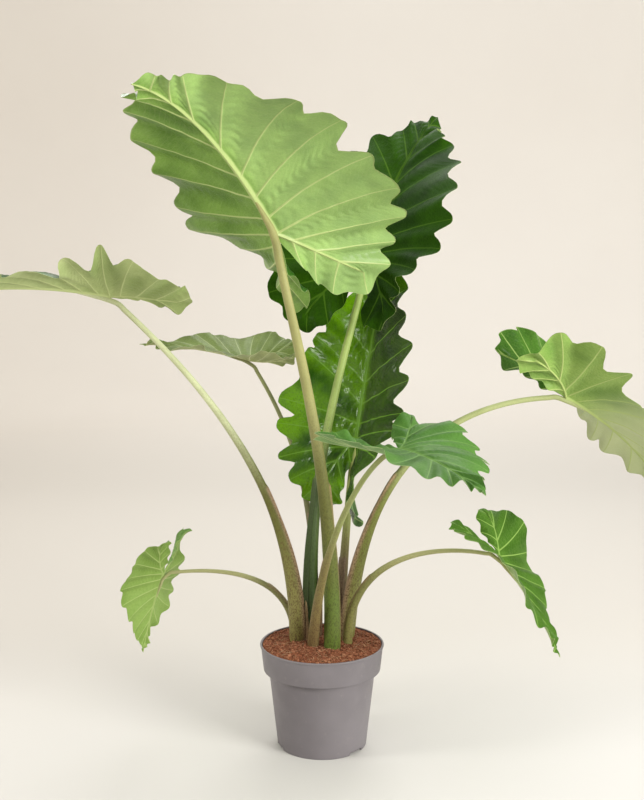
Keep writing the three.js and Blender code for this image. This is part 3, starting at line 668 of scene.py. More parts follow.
# %% [markdown]
# ## Nine leaves, one rule
# Each entry places one leaf: where its stalk tops out, how long and wide the blade is,
# where its tip points, and how it bends, folds and curls. Pairs are the right half, then
# the left, looking to the tip. The values are those of the CAD model, in mm and degrees.
# Most began as a fit to points seen in the photograph, then were rounded or changed. The
# depths along Y, the feet and the radii were chosen.
#
# at: top of the stalk. front, half, lobe: length ahead of it, half width, length behind it.
# heading, rise, roll: which way the tip points. bend, back: how far the midrib and the lobes
# arch. turn: where fold gives way to lobe_fold. wave: phase of the margin's slow ruffle.
# foot, lean, reach: the stalk's start and the two points that draw its curve.
# radius: at its foot and top, what its sheath adds, and the power of its taper.

# %% Leaf values
LEAVES = {
    "high_left": dict(
        at=(-80, -150, 980), front=480, half=225, lobe=235, heading=-133, rise=52, roll=32,
        bend=60, back=-16, turn=0.15, fold=(20, 8), lobe_fold=(43, 38), curl=(25, -25),
        wave=1.0, foot=(18, -30), lean=(35, -40, 560), reach=(-75, -165, 890),
        radius=(15.5, 7.4, 1.5, 1.3)),
    "high_right": dict(
        at=(90, 140, 945), front=460, half=205, lobe=165, heading=60, rise=57, roll=0,
        bend=28, back=25, turn=0.15, fold=(20, 16), lobe_fold=(25, 20), curl=(0, 0),
        wave=2.1, foot=(-16, 38), lean=(-55, 45, 525), reach=(85, 165, 845),
        radius=(12.5, 6.8, 3.5, 1.4)),
    "centre": dict(
        at=(70, 130, 580), front=420, half=187, lobe=155, heading=45, rise=80, roll=0,
        bend=12, back=25, turn=0.15, fold=(15, 8), lobe_fold=(50, 20), curl=(10, 30),
        wave=0.4, foot=(30, 70), lean=(45, 75, 355), reach=(60, 175, 545),
        radius=(13, 6, 1, 1.6)),
    "front_right": dict(
        at=(125, -330, 635), front=260, half=146, lobe=108, heading=-68, rise=3, roll=11,
        bend=19, back=-23, turn=0.15, fold=(8, 4), lobe_fold=(1, 17), curl=(40, -38),
        wave=3.3, foot=(-18, -6), lean=(-20, -70, 370), reach=(60, -270, 610),
        radius=(13, 4.4, 0, 2.2)),
    "far_left": dict(
        at=(-385, -60, 870), front=290, half=158, lobe=138, heading=195, rise=12, roll=-5,
        bend=22, back=5, turn=0.3, fold=(5, 38), lobe_fold=(20, 20), curl=(5, 0),
        wave=5.1, foot=(-50, 14), lean=(-16, 10, 515), reach=(-285, -55, 775),
        radius=(13.5, 5, 5, 1.6)),
    "back_left": dict(
        at=(-155, 300, 725), front=240, half=134, lobe=110, heading=184, rise=16, roll=-12,
        bend=15, back=-27, turn=0.15, fold=(9, 18), lobe_fold=(23, 26), curl=(-7, 3),
        wave=4.2, foot=(-20, 78), lean=(10, 170, 480), reach=(-100, 300, 635),
        radius=(10, 4, 0, 1.6)),
    "far_right": dict(
        at=(470, 40, 675), front=325, half=164, lobe=140, heading=22, rise=-26, roll=5,
        bend=26, back=30, turn=0.7, fold=(12, -30), lobe_fold=(46, 36), curl=(-5, 0),
        wave=0.9, foot=(44, 34), lean=(64, 34, 665), reach=(375, 38, 675),
        radius=(13.5, 5, 5, 1.6)),
    "low_right": dict(
        at=(320, -130, 405), front=205, half=113, lobe=95, heading=-43, rise=-42, roll=-20,
        bend=14, back=19, turn=0.15, fold=(19, 7), lobe_fold=(0, 38), curl=(-7, -2),
        wave=2.6, foot=(52, -2), lean=(20, -8, 385), reach=(215, -110, 430),
        radius=(12, 3.6, 0, 1.8)),
    "low_left": dict(
        at=(-315, 60, 320), front=175, half=99, lobe=87, heading=157, rise=-68, roll=5,
        bend=11, back=26, turn=0.15, fold=(7, 26), lobe_fold=(27, 21), curl=(5, -20),
        wave=1.7, foot=(-58, 50), lean=(-25, 50, 340), reach=(-220, 60, 335),
        radius=(9.5, 3.3, 0, 1.7)),
}
SHEET = 0.9  # mm
MARGIN_NOTCH = 0.12  # depth of the notches, as a share of a vein's length
TIP_NOTCHES = (0.25, 0.5, 0.75)  # how much of it the first three, by the tip, have
# heights as shares of the half width, but for WAVELET, a share of a vein's length
PUCKER = 0.022
EDGE_WAVE = 0.026
RUFFLE = 0.05
WAVELET = 0.022
CRIMP = 0.012
FRONT_OUTLINE = [[1, 0], [0.88, 0.14], [0.68, 0.44], [0.44, 0.76], [0.2, 0.95], [-0.02, 1]]
LOBE_OUTLINE = [[-0.36, 0.97], [-0.76, 0.78], [-1, 0.46], [-0.82, 0.2], [-0.42, 0.07], [-0.07, 0]]
LOBE_TIP_POINT = 8
CURVE_STEPS = 24
MIDRIB_VEINS = 8
OUTER_VEINS = 12
ALL_VEINS = 16
VEIN_STARTS = [1, 0.88, 0.74, 0.59, 0.41, 0.27, 0.165, 0.07, 0]
VEIN_ENDS = [0, 0.45, 0.85, 1.35, 2.4, 4.0, 5.3, 6.7, 7.9, 9.1, 10.2, 11.1, 12]
LOBE_RIB = (-0.78, 0.47)
LOBE_RIB_STARTS = [0, 0.14, 0.38, 0.68, 1]
BOW = -0.025
print("leaves:", ", ".join(LEAVES))

# %% [markdown]
# ## The pressed-flat blade
# Vein 0 ends in the tip, 8 leaves the top of the stalk, 12 runs into the lobe's tip and
# 16 lies in the sinus, so a point of the blade is (vein, out): which vein, and how far
# out along it. The margin is a curve through twelve points, cut in between vein ends.

# %% Outline and flat points
def spline(points, t):
    """Uniform Catmull-Rom curve through the points at t, with mirrored ends."""
    ends = np.concatenate([2 * points[:1] - points[1:2], points, 2 * points[-1:] - points[-2:-1]])
    i = np.clip(np.floor(t).astype(int), 0, len(points) - 2)
    s = (t - i)[..., None]
    p0, p1, p2, p3 = ends[i], ends[i + 1], ends[i + 2], ends[i + 3]
    v0, v1 = (p2 - p0) / 2, (p3 - p1) / 2
    return ((2 * p1 - 2 * p2 + v0 + v1) * s ** 3 + (-3 * p1 + 3 * p2 - 2 * v0 - v1) * s ** 2
            + v0 * s + p1)


def margin(leaf, vein):
    """The point of the outline where each vein ends, at a chosen share of its length up to
    the lobe's tip, and at even steps behind it."""
    points = np.array([[x * leaf["front"], y * leaf["half"]] for x, y in FRONT_OUTLINE]
                      + [[x * leaf["lobe"], y * leaf["half"]] for x, y in LOBE_OUTLINE])
    t = np.linspace(0, len(points) - 1, (len(points) - 1) * CURVE_STEPS + 1)
    length = length_along(spline(points, t))
    lobe_tip = length[LOBE_TIP_POINT * CURVE_STEPS] / length[-1]
    past = (vein - OUTER_VEINS) / (ALL_VEINS - OUTER_VEINS)
    ends = np.interp(vein, np.arange(OUTER_VEINS + 1), VEIN_ENDS) / OUTER_VEINS
    share = np.where(vein <= OUTER_VEINS, lobe_tip * ends, lobe_tip + (1 - lobe_tip) * past)
    return spline(points, np.interp(share * length[-1], length, t))


def rib(leaf, vein):
    """Where each vein starts: on the midrib, or on the rib that runs into the lobe."""
    folded = np.where(vein > OUTER_VEINS, 2 * OUTER_VEINS - vein, vein)
    along = np.interp(folded - MIDRIB_VEINS, np.arange(5), LOBE_RIB_STARTS)
    x = np.where(vein <= MIDRIB_VEINS,
                 np.interp(vein, np.arange(9), VEIN_STARTS) * leaf["front"],
                 LOBE_RIB[0] * leaf["lobe"] * along)
    y = np.where(vein <= MIDRIB_VEINS, 0.0, LOBE_RIB[1] * leaf["half"] * along ** 0.85)
    return np.stack([x, y], -1)


def flat_blade(leaf, vein, out, cut, slide):
    """Rib + (margin - rib) * cut * out, with each line bowed to the tip by a share of its
    length times 4 out (1 - out), so that veins bend outwards as they near the margin.
    Slide moves a line's outer end along the margin, counted in veins."""
    start, end = rib(leaf, vein), margin(leaf, vein + slide)
    span = (end - start) * cut[:, None]
    bow = BOW * np.linalg.norm(span, axis=1) * smooth((11.0 - vein) / 3.0)
    points = start[:, None] + span[:, None] * out[None, :, None]
    points[..., 0] -= bow[:, None] * 4 * out * (1 - out)
    return points


# %% [markdown]
# ## Bent into shape
# A real blade arches along its midrib, folds up on both sides of it like a book, and
# curls towards its margin. Each is a piece of a circle, so the flat point is walked along
# three arcs. The frame of tip, up and right directions then sets it in the world.

# %% [markdown]
# No two scallops of a real margin are alike. Most are left to a seeded choice, and where
# the photograph shows one plainly, its vein gets a reach (how far out it ends against the
# plain outline), a lift (how far its end stands off the sheet, in mm) and a slide (how far
# its end lies along the margin, in veins). A bay after a vein gets a depth and a lift.
# Reach, lift and slide were found by trying values until each vein ended near its place in
# the photograph, then put on coarse steps: 0.05, 10 mm and a quarter of a vein.

# %% Margins
# name: (right half, left half), each {vein: (reach, lift, slide)}
MARGIN = {
    "high_left": (
        {1: (0.8, 0, 0), 2: (0.85, 10, 0), 3: (1.1, 0, 0), 5: (0.95, 10, 0),
         6: (0.85, -10, 0), 7: (0.95, -10, 0.25), 8: (1.15, 0, 0), 9: (1.15, 10, 0),
         10: (1, 0, 0.25)},
        {1: (1.15, 10, 0.5), 2: (1.25, 10, 0.25), 3: (1, 10, 0), 5: (1.15, 0, 0),
         6: (1.1, 0, 0), 8: (1.05, 0, 0), 9: (1.05, 0, 0.25), 10: (1, 0, 0.25),
         12: (0.9, 10, 0.25), 13: (1, 0, 0.5), 14: (1.1, 0, 0.25)}),
    "high_right": (
        {1: (0.95, -10, 0), 2: (0.95, -10, 0), 3: (0.95, -10, 0.75), 4: (1, -10, 0.25),
         5: (1, -10, 0.25), 6: (1.05, 0, 1), 7: (1.05, 0, 1), 8: (0.95, 0, 0.75),
         9: (0.9, 10, 0.5), 10: (0.8, 10, 0.25), 11: (0.7, 10, 0), 12: (0.85, 10, 0.25),
         13: (1.1, 10, 0)},
        {1: (1, 10, 0), 2: (1.25, 10, 0.5), 3: (1, 0, 0.25), 4: (1.2, 10, 0.25),
         5: (1.25, 0, 0), 6: (1.05, 10, -0.25)}),
    "centre": (
        {3: (0.95, -10, 0.75), 4: (1, 0, 0.75), 5: (0.95, 0, 0.5), 6: (0.9, 0, 0.5),
         7: (1, 0, 0.5), 9: (0.95, 0, -0.25), 10: (0.75, -10, 0), 11: (0.75, -10, -0.25),
         12: (1, 0, 0.5)},
        {3: (1, 0, 1), 4: (1, 0, 0.75), 5: (1, 0, 0.5), 7: (1, 0, 0.5), 8: (0.95, 0, 0.25),
         9: (0.9, 0, 0.25), 10: (0.8, 0, 0), 11: (0.8, -10, 0), 12: (0.95, -10, 0.5),
         13: (1.15, 0, 0.25)}),
    "front_right": (
        {1: (1, 10, -0.5), 2: (1.1, 0, -0.5), 4: (1, 10, 0), 5: (0.95, 0, 0)},
        {2: (1, -10, 0), 3: (0.95, 0, -0.25), 4: (0.9, -10, 0), 5: (0.95, -20, 0),
         6: (0.95, -20, -0.25), 7: (0.95, -10, 0.25), 9: (0.95, 0, -0.25),
         11: (0.95, -10, 0), 12: (1, 0, -0.25)}),
    "far_left": (
        {},
        {4: (1, 0, -0.25), 5: (1, -10, -0.5), 6: (1, -10, -0.75), 7: (1, -10, -0.75),
         8: (0.95, 10, -0.75), 9: (1.1, 10, -0.75), 10: (1, 20, -0.75),
         11: (1.05, 10, -0.75), 12: (1, 10, -0.75)}),
    "far_right": (
        {7: (0.85, -20, -0.25), 8: (1, -10, 0), 9: (1.05, 0, 0), 10: (1, 20, 0),
         11: (0.95, 0, 0), 12: (1, 20, 0)},
        {3: (1.1, -10, 0.5), 4: (1.05, 0, 0.5), 5: (1, 20, 0), 6: (0.9, 30, -0.25),
         7: (1, 30, -0.25), 8: (1, 30, -0.25), 9: (0.95, 30, -0.25), 10: (1.05, 10, -0.5),
         11: (1, 20, -0.5), 12: (0.75, 30, -0.25)}),
}
# name: (right half, left half), each {vein before the bay: (depth, lift)}
BAYS = {
    "high_left": ({}, {4: (0.2, 0), 6: (0.25, 0)}),
    "high_right": ({6: (0.1, 0), 7: (0.1, 0)}, {3: (0.25, 0), 4: (0.25, 0), 5: (0.15, 0)}),
    "centre": ({4: (0.15, 0), 5: (0.2, 0), 6: (0.2, 0)},
               {6: (0.15, 10), 7: (0.2, -10), 8: (0.2, -10), 9: (0.2, -10),
                10: (0.2, -10), 11: (0.15, -10)}),
    "front_right": ({}, {6: (0.15, 0), 8: (0.2, 0), 9: (0.1, 0), 11: (0.2, 0)}),
    "far_left": ({}, {6: (0.3, -15), 7: (0.35, -20), 8: (0.3, -15)}),
    "far_right": ({7: (0.25, 0), 8: (0.3, 0), 9: (0.25, 0), 10: (0.1, 0)}, {}),
}


def half_of(table, name, side):
    """What a table says of one half of a leaf, if anything."""
    return table.get(name, ({}, {}))[0 if side > 0 else 1]


def vein_before(vein):
    """The whole vein number at or before each place."""
    return np.clip(np.floor(vein).astype(int), 0, ALL_VEINS - 1)


def by_vein(name, side, which, vein):
    """The reach (0), lift (1) or slide (2) at vein ends, joined smoothly."""
    given = half_of(MARGIN, name, side)
    ends = np.array([given.get(k, (1.0, 0.0, 0.0))[which] for k in range(ALL_VEINS + 1)])
    k = vein_before(vein)
    return ends[k] + (ends[k + 1] - ends[k]) * smooth(vein - k)


def margin_cut(name, side, vein, rng):
    """The reach, less a notch between vein ends: depth |sin(pi w)|^sharp, where w runs
    from 0 to 1 between two veins and is skewed a little, each by a seeded choice. The
    notches by the tip are shallower. Small uneven wavelets are added, about three to a
    vein."""
    k = vein_before(vein)
    depth, sharp, skew = (rng.uniform(low, high, ALL_VEINS) for low, high in (
        (0.7 * MARGIN_NOTCH, 1.3 * MARGIN_NOTCH), (2.0, 3.4), (0.72, 1.35)))
    depth[:3] *= TIP_NOTCHES
    for before, (deep, _) in half_of(BAYS, name, side).items():
        depth[before] = deep
    w = (vein - k) ** skew[k]
    notch = depth[k] * np.abs(np.sin(np.pi * w)) ** sharp[k]
    wavelet = WAVELET * patchy(vein, len(name) + 3.7 * side, 0.3, 41) * np.sin(
        np.pi * vein / ALL_VEINS)
    return by_vein(name, side, 0, vein) * (1 - notch + wavelet)


def margin_lift(name, side, vein):
    """The lift of vein ends and bays, in mm off the sheet at the margin."""
    k = vein_before(vein)
    bay = np.zeros(ALL_VEINS)
    for before, (_, lift) in half_of(BAYS, name, side).items():
        bay[before] = lift
    return by_vein(name, side, 1, vein) + bay[k] * np.sin(np.pi * (vein - k)) ** 2


# %% Blade in space
def blade_axes(leaf):
    """Unit vectors to the tip, off the upper face, and to the right half."""
    h, r, roll = np.radians([leaf["heading"], leaf["rise"], leaf["roll"]])
    tip = np.array([np.cos(r) * np.cos(h), np.cos(r) * np.sin(h), np.sin(r)])
    level = np.array([-np.sin(r) * np.cos(h), -np.sin(r) * np.sin(h), np.cos(r)])
    across = np.cross(tip, level)
    up = level * np.cos(roll) + across * np.sin(roll)
    return tip, up, across * np.cos(roll) - level * np.sin(roll)


def arc(start, rate, length):
    """How far a path has gone along and up whose slope angle is start + rate * length."""
    k = np.where(np.abs(rate) < 1e-9, 1e-9, rate)
    return ((np.sin(start + k * length) - np.sin(start)) / k,
            -(np.cos(start + k * length) - np.cos(start)) / k)


def blade_in_space(leaf, flat, side, lift):
    """The flat points (mm) bent along the midrib, folded and curled across it, then
    lifted off the sheet by lift, in metres."""
    tip, up, right = blade_axes(leaf)
    half = 0 if side > 0 else 1
    x, y = flat[..., 0], flat[..., 1]
    ahead, behind = np.maximum(x, 0), np.maximum(-x, 0)
    bend, back = np.radians(leaf["bend"]) / leaf["front"], np.radians(leaf["back"]) / leaf["lobe"]
    along_ahead, drop_ahead = arc(0.0, bend, ahead)
    along_behind, drop_behind = arc(0.0, back, behind)
    slope = (bend * ahead + back * behind)[..., None]
    lean = (np.sin(bend * ahead) - np.sin(back * behind))[..., None]
    normal = up * np.cos(slope) + tip * lean
    lobe_start = leaf["turn"] * leaf["front"]
    toward_lobe = smooth((lobe_start - x) / (lobe_start + 0.6 * leaf["lobe"]))
    flatten = 1 - 0.45 * smooth((x / leaf["front"] - 0.15) / 0.7)
    fold = np.radians(leaf["fold"][half] * flatten * (1 - toward_lobe)
                      + leaf["lobe_fold"][half] * toward_lobe)
    curl = np.radians(leaf["curl"][half]) / leaf["half"]
    across, rise = arc(fold, curl, y)
    tilt = np.where(y > 0, fold + curl * y, 0.0)[..., None]
    skin = normal * np.cos(tilt) - right * (side * np.sin(tilt))
    return (np.array(leaf["at"]) + tip * (along_ahead - along_behind)[..., None]
            - up * (drop_ahead + drop_behind)[..., None] + right * (side * across)[..., None]
            + normal * rise[..., None] + skin * lift[..., None]) * MM


# %% [markdown]
# ## Veins, quilting and margin
# What makes the leaf alocasia is its relief: a stout midrib and side veins raised below
# and sunk above, the skin quilted between them, and a wavy margin. A displacement
# texture would be cheaper, but the outline must carry it too, so the relief is geometry:
# rows crowd together at each vein, where the shape changes fastest.

# %% Relief
ROWS_PER_VEIN = 14
GATHER = 0.86


def vein_rows():
    """Vein numbers of the rows: k + x - GATHER sin(2 pi x) / 2 pi, so they crowd at veins."""
    x = np.arange(ALL_VEINS * ROWS_PER_VEIN + 1) / ROWS_PER_VEIN
    return x - GATHER * np.sin(2 * np.pi * x) / (2 * np.pi)


def out_columns(count):
    """0 at the rib to 1 at the margin, crowded at the rib, with two close at the margin."""
    inner = 0.988 * np.linspace(0.0, 1.0, count - 1) ** 1.5
    return np.append(inner, 1.0)


def vein_gap(leaf, vein, out, cut, slide):
    """Distance in mm from each point to the nearest side vein, square to that vein."""
    step = 0.004
    low, high = np.maximum(vein - step, 0), np.minimum(vein + step, ALL_VEINS)
    across = flat_blade(leaf, high, out, cut, slide) - flat_blade(leaf, low, out, cut, slide)
    across = across / (high - low)[:, None, None]
    way = unit(margin(leaf, vein + slide) - rib(leaf, vein), 1e-6)
    spread = np.abs(across[..., 0] * way[:, None, 1] - across[..., 1] * way[:, None, 0])
    nearest = np.abs(vein - np.clip(np.round(vein), 1, ALL_VEINS - 1))
    return nearest[:, None] * spread


def rib_gap(leaf, vein, flat):
    """Distance in mm to the midrib ahead of vein 8, and to the lobe's rib after it."""
    step = 0.01

    def on_lobe_rib(place):
        return rib(leaf, np.clip(place, MIDRIB_VEINS, OUTER_VEINS))

    mirrored = 2 * OUTER_VEINS - vein
    run = on_lobe_rib(vein + step) - on_lobe_rib(vein - step)
    run = run + on_lobe_rib(mirrored + step) - on_lobe_rib(mirrored - step)
    run = unit(run, 1e-9)
    way = flat - flat[:, :1]
    off_lobe = np.abs(way[..., 0] * run[:, None, 1] - way[..., 1] * run[:, None, 0])
    return np.where(vein[:, None] <= MIDRIB_VEINS, flat[..., 1], off_lobe)


def relief(leaf, vein, out, flat, gap):
    """Half width of the nearest rib or vein, and how far inside it each point is: 1 on its
    crest, 0 at its edge, below 0 outside. Also the crest's height."""
    top = leaf["radius"][1]
    ahead = np.clip(flat[..., 0] / leaf["front"], 0, 1)
    folded = np.where(vein > OUTER_VEINS, 2 * OUTER_VEINS - vein, vein)
    past = np.clip((folded - MIDRIB_VEINS) / 4, 0, 1)[:, None]
    stout = np.where(vein[:, None] <= MIDRIB_VEINS, top * (1.2 - 0.98 * ahead),
                     top * (0.75 - 0.45 * past) * (1 - 0.75 * out[None, :]))
    fine = top * 0.36 * (1 - 0.8 * out[None, :] ** 0.8) + 0.35
    in_rib = 1 - rib_gap(leaf, vein, flat) / stout
    in_vein = 1 - gap / fine
    ridge = np.maximum(in_rib, in_vein)
    height = np.maximum(0.62 * stout * smooth(in_rib * 0.85), 0.55 * fine * smooth(in_vein * 0.9))
    return np.clip(ridge, -8, 1), height


def lift_off(leaf, vein, out, flat, quilt, phase):
    """How far the sheet leaves its smooth form: bulges between veins, a wave along the
    margin, a slow ruffle and small crimps, then ripples that sweep outwards from each
    vein and uneven puckers, whose heights in mm are the two values of quilt."""
    ripple, pucker = quilt
    v, o = vein[:, None], out[None, :]
    between_veins = np.sin(np.pi * v) ** 2
    bulge = PUCKER * between_veins * 4 * o * (1 - o)
    edge = -EDGE_WAVE * np.cos(2 * np.pi * v) * o ** 3
    slow = RUFFLE * o ** 2 * np.sin(1.9 * v + leaf["wave"])
    crimp = CRIMP * o ** 5 * patchy(v, phase + 9.0 + 0 * v, 0.35, 42)
    fade = smooth(v / 1.5) * smooth((ALL_VEINS - v) / 1.5)
    along = np.linalg.norm(flat - flat[:, :1], axis=-1)
    sweep_out = along / (0.075 * leaf["half"]) - 0.9 * np.abs(np.sin(np.pi * v))
    uneven = 0.65 + 0.5 * patchy(3.1 * v + phase, along / 26.0, 1.0, 21)
    dimple = np.sin(2 * np.pi * sweep_out + phase) * uneven * np.abs(np.sin(np.pi * v)) ** 0.8
    body = smooth(along / 14.0) * (1 - 0.6 * o ** 4)
    puckers = (patchy(flat[..., 0] + 90 * phase, flat[..., 1], 26.0, 22)
               + 0.6 * patchy(flat[..., 0], flat[..., 1] + 60 * phase, 13.0, 23))
    return fade * (leaf["half"] * (bulge + edge + slow + crimp)
                   + (ripple * dimple + pucker * puckers * smooth(along / 30)) * body)


# %% Leaf mesh
# height in mm of the ripples and of the puckers
QUILT = {"high_left": (1.0, 1.1), "high_right": (0.6, 0.9), "centre": (1.0, 3.0),
         "front_right": (0.3, 0.6), "far_left": (0.8, 1.2), "back_left": (0.5, 0.7),
         "far_right": (0.6, 0.8), "low_right": (0.3, 0.5), "low_left": (0.4, 0.5)}


def leaf_grids(name, seed):
    """Both halves of a blade, each with an upper face (slot 0), a lower face (slot 1) and
    a narrow rounded margin. The relief is added below and, shallower, cut in above."""
    leaf = LEAVES[name]
    rng = np.random.default_rng(seed)
    vein = vein_rows()
    out = out_columns(58 if leaf["half"] > 150 else 46)
    made = []
    for side in (1, -1):
        cut = margin_cut(name, side, vein, rng)
        slide = by_vein(name, side, 2, vein)
        flat = flat_blade(leaf, vein, out, cut, slide)
        gap = vein_gap(leaf, vein, out, cut, slide)
        ridge, height = relief(leaf, vein, out, flat, gap)
        lift = lift_off(leaf, vein, out, flat, QUILT[name], seed + (0.0 if side > 0 else 2.7))
        lift = lift + margin_lift(name, side, vein)[:, None] * out[None, :] ** 2
        thick = SHEET / 2 * (1 - 0.55 * out[None, :] ** 6)
        rows, columns = ridge.shape
        along = np.linalg.norm(flat - flat[:, :1], axis=-1)
        marks = {"ridge": ridge, "margin": np.broadcast_to(out, ridge.shape),
                 "cross": (along + 0.9 * gap) / 9.0, "gap": gap}
        uv = flat * np.array([1.0, side]) / 100.0
        faces = {
            0: blade_in_space(leaf, flat, side, lift + thick - 0.22 * height),
            1: blade_in_space(leaf, flat, side, lift - thick - height),
        }
        for slot, points in faces.items():
            made.append({"points": points, "slot": slot, "uv": uv, "marks": marks,
                         "flip": (side > 0) == (slot == 1)})
        swell = unit(flat[:, -1:] - flat[:, -2:-1], 1e-6)
        outer = blade_in_space(leaf, flat[:, -1:] + 0.15 * swell, side, lift[:, -1:])
        for row in (0, -1):
            outer[row] = (faces[0][row, -1:] + faces[1][row, -1:]) / 2
        edge = np.concatenate([faces[0][:, -1:], outer, faces[1][:, -1:]], 1)
        wide = {key: np.repeat(values[:, -1:], 3, 1) for key, values in marks.items()}
        made.append({"points": edge, "slot": 1, "uv": np.repeat(uv[:, -1:], 3, 1),
                     "marks": wide, "flip": side > 0})
    return made


# %% [markdown]
# ### Leaf skin
# The upper face is waxy and dark with pale sunken veins; the lower is duller, yellower
# and has the veins raised in cream. One material per face and leaf reads the same
# corner values: ridge (where a vein is), cross (the fine veins between) and margin.
# An image would be quicker but could not follow each leaf's own folds.

# %% Leaf materials
def leaf_skin(name, deep, light, vein, roughness, coat, face, mottle, tip, half):
    """Skin of one face. face is 1 above, where net veins sink, and -1 below, where they
    stand out. tip pales the blade towards its tip. half is (side, share, tint) of painted
    light or shade: the half on that side, 1 right and -1 left, is toned towards the tint by that
    share."""
    material, tree, skin = new_material(name, roughness, 0.03 + 0.3 * coat)
    place = here(tree)
    flat = flat_map(tree)
    broad = between(tree, noise(tree, place, 11.0, 3.0, 0.55), 0.32, 0.68)
    tone = blend(tree, broad, deep, light)
    near = between(tree, mark(tree, "gap"), 0.0, 16.0, 0.35, 0.0)
    tone = blend(tree, near, tone, light)
    fine = noise(tree, flat, 26.0, 4.0, 0.65)
    tone = blend(tree, times(tree, between(tree, fine, 0.42, 0.72), mottle), tone, deep)
    spot = axes_of(tree, flat)
    toward_tip = between(tree, spot["X"], 0.1, 1.5, 0.0, tip)
    tone = blend(tree, toward_tip, tone, PALE_TIP)
    side, share, tint = half
    # painted shade or light: one half of the face is toned towards the tint
    painted_half_share = between(tree, times(tree, spot["Y"], side), -0.02, 0.25, 0.0, share)
    tone = blend(tree, painted_half_share, tone, tint)
    wobble = noise(tree, flat, 9.0, 2.0)
    cross = sums(tree, "ADD", mark(tree, "cross"), times(tree, wobble, 1.1))
    line = sums(tree, "ABSOLUTE", sums(tree, "SINE", times(tree, cross, np.pi)))
    line = between(tree, line, 0.0, 0.2, 1.0, 0.0)
    net = add(tree, "ShaderNodeTexVoronoi", {"Vector": flat, "Scale": 24.0},
              feature="DISTANCE_TO_EDGE").outputs["Distance"]
    net = between(tree, net, 0.0, 0.09, 1.0, 0.0)
    fine_veins = sums(tree, "MAXIMUM", times(tree, line, 0.8),
                      times(tree, net, 0.45))
    tone = blend(tree, times(tree, fine_veins, 0.26), tone, vein)
    crest = between(tree, mark(tree, "ridge"), -0.05, 0.5)
    tone = blend(tree, times(tree, crest, 0.85), tone, vein)
    rim = between(tree, mark(tree, "margin"), 0.982, 0.999)
    tone = blend(tree, times(tree, rim, 0.55), tone, vein)
    paint(tree, skin, tone)
    tree.links.new(between(tree, fine, 0.3, 0.75, roughness - 0.05, roughness + 0.1),
                   skin.inputs["Roughness"])
    skin.inputs["Coat Weight"].default_value = coat
    skin.inputs["Coat Roughness"].default_value = 0.22
    pores = noise(tree, flat, 160.0, 2.0)
    bumps(tree, skin, [(fine_veins, -face * 0.5 * MM, 0.55), (fine, 0.7 * MM, 0.35),
                       (pores, 0.08 * MM, 0.3)])
    return material


PALE_TIP = colour(212, 216, 174)
EVEN = (1, 0.0, colour(0, 0, 0))
# face and leaf with one half given painted shade or light: side, share, tint
# painted shade: the centre leaf's upper right half is darkened as if in shade
PAINTED_HALF_LIGHT_AND_SHADE = {("upper", "centre"): (1, 0.72, colour(10, 34, 0)),
              # painted light and sheen: the left half of the high left leaf's lower face is paled
              ("lower", "high_left"): (-1, 0.26, colour(190, 216, 150))}
TIP_PALES = {"far_left": 0.2, "far_right": 0.65}  # how far the lower face pales at the tip
FACES = (("upper", 1, 0.5), ("lower", -1, 0.4))  # name, sign, strength of the mottle
LEAF_FINISH = {
    # name: upper face, then lower face: deep, light, vein, roughness, coat
    "high_left": (((30, 72, 14), (60, 112, 28), (150, 176, 96), 0.36, 0.3),
                  ((90, 124, 52), (132, 167, 80), (180, 194, 128), 0.34, 0.16)),
    "high_right": (((22, 50, 2), (42, 80, 2), (70, 106, 24), 0.5, 0.02),
                   ((100, 130, 60), (132, 160, 84), (190, 200, 140), 0.45, 0.08)),
    "centre": (((34, 74, 0), (104, 156, 4), (112, 158, 52), 0.16, 0.34),
               ((62, 92, 48), (86, 118, 66), (150, 166, 110), 0.4, 0.08)),
    "front_right": (((56, 96, 34), (84, 126, 54), (110, 148, 74), 0.48, 0.06),
                    ((104, 140, 84), (136, 168, 104), (190, 204, 150), 0.45, 0.08)),
    "far_left": (((40, 76, 24), (70, 112, 42), (140, 166, 100), 0.38, 0.12),
                 ((138, 156, 94), (172, 186, 124), (186, 197, 138), 0.5, 0.08)),
    # back_left's upper tones: a green leaf with painted sheen, olive-grey for its grazing reflection
    # of the backdrop
    "back_left": (((84, 100, 46), (118, 136, 74), (160, 172, 118), 0.46, 0.05),
                  ((128, 140, 88), (162, 172, 114), (200, 204, 154), 0.5, 0.08)),
    "far_right": (((40, 80, 14), (70, 114, 32), (150, 174, 96), 0.4, 0.1),
                  ((104, 138, 62), (148, 176, 92), (178, 194, 120), 0.42, 0.1)),
    "low_right": (((48, 82, 18), (76, 114, 36), (132, 162, 82), 0.5, 0.05),
                  ((104, 136, 70), (138, 166, 92), (192, 204, 148), 0.45, 0.08)),
    "low_left": (((88, 124, 60), (124, 156, 88), (160, 184, 118), 0.45, 0.05),
                 ((112, 142, 62), (140, 168, 88), (168, 188, 116), 0.45, 0.08)),
}


def leaf_materials(name):
    """The skins of the upper and the lower face, in the order of the mesh's slots."""
    skins = []
    for (face, sign, mottle), row in zip(FACES, LEAF_FINISH[name]):
        *tones, roughness, coat = row
        tip = TIP_PALES.get(name, 0.0) if face == "lower" else 0.0
        skins.append(leaf_skin(
            f"leaf_{face}_{name}", *(colour(*tone) for tone in tones), roughness, coat, sign,
            mottle, tip, PAINTED_HALF_LIGHT_AND_SHADE.get((face, name), EVEN)))
    return skins


for seed, name in enumerate(LEAVES, start=1):
    blade = new_piece(f"blade_{name}", leaf_grids(name, seed), leaf_materials(name))
    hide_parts(f"leaf_{name}")

# %% [markdown]
# ## The stalks
# A stalk is thick and channelled where its sheath wraps the next one, then round and
# slender, and it does not stop at the blade: it runs on below it as the midrib. A curve
# with a bevel gives only a plain tube, so each stalk is a ring carried along a path, with
# the channel, the two sheath wings and the taper worked into the ring's radius.

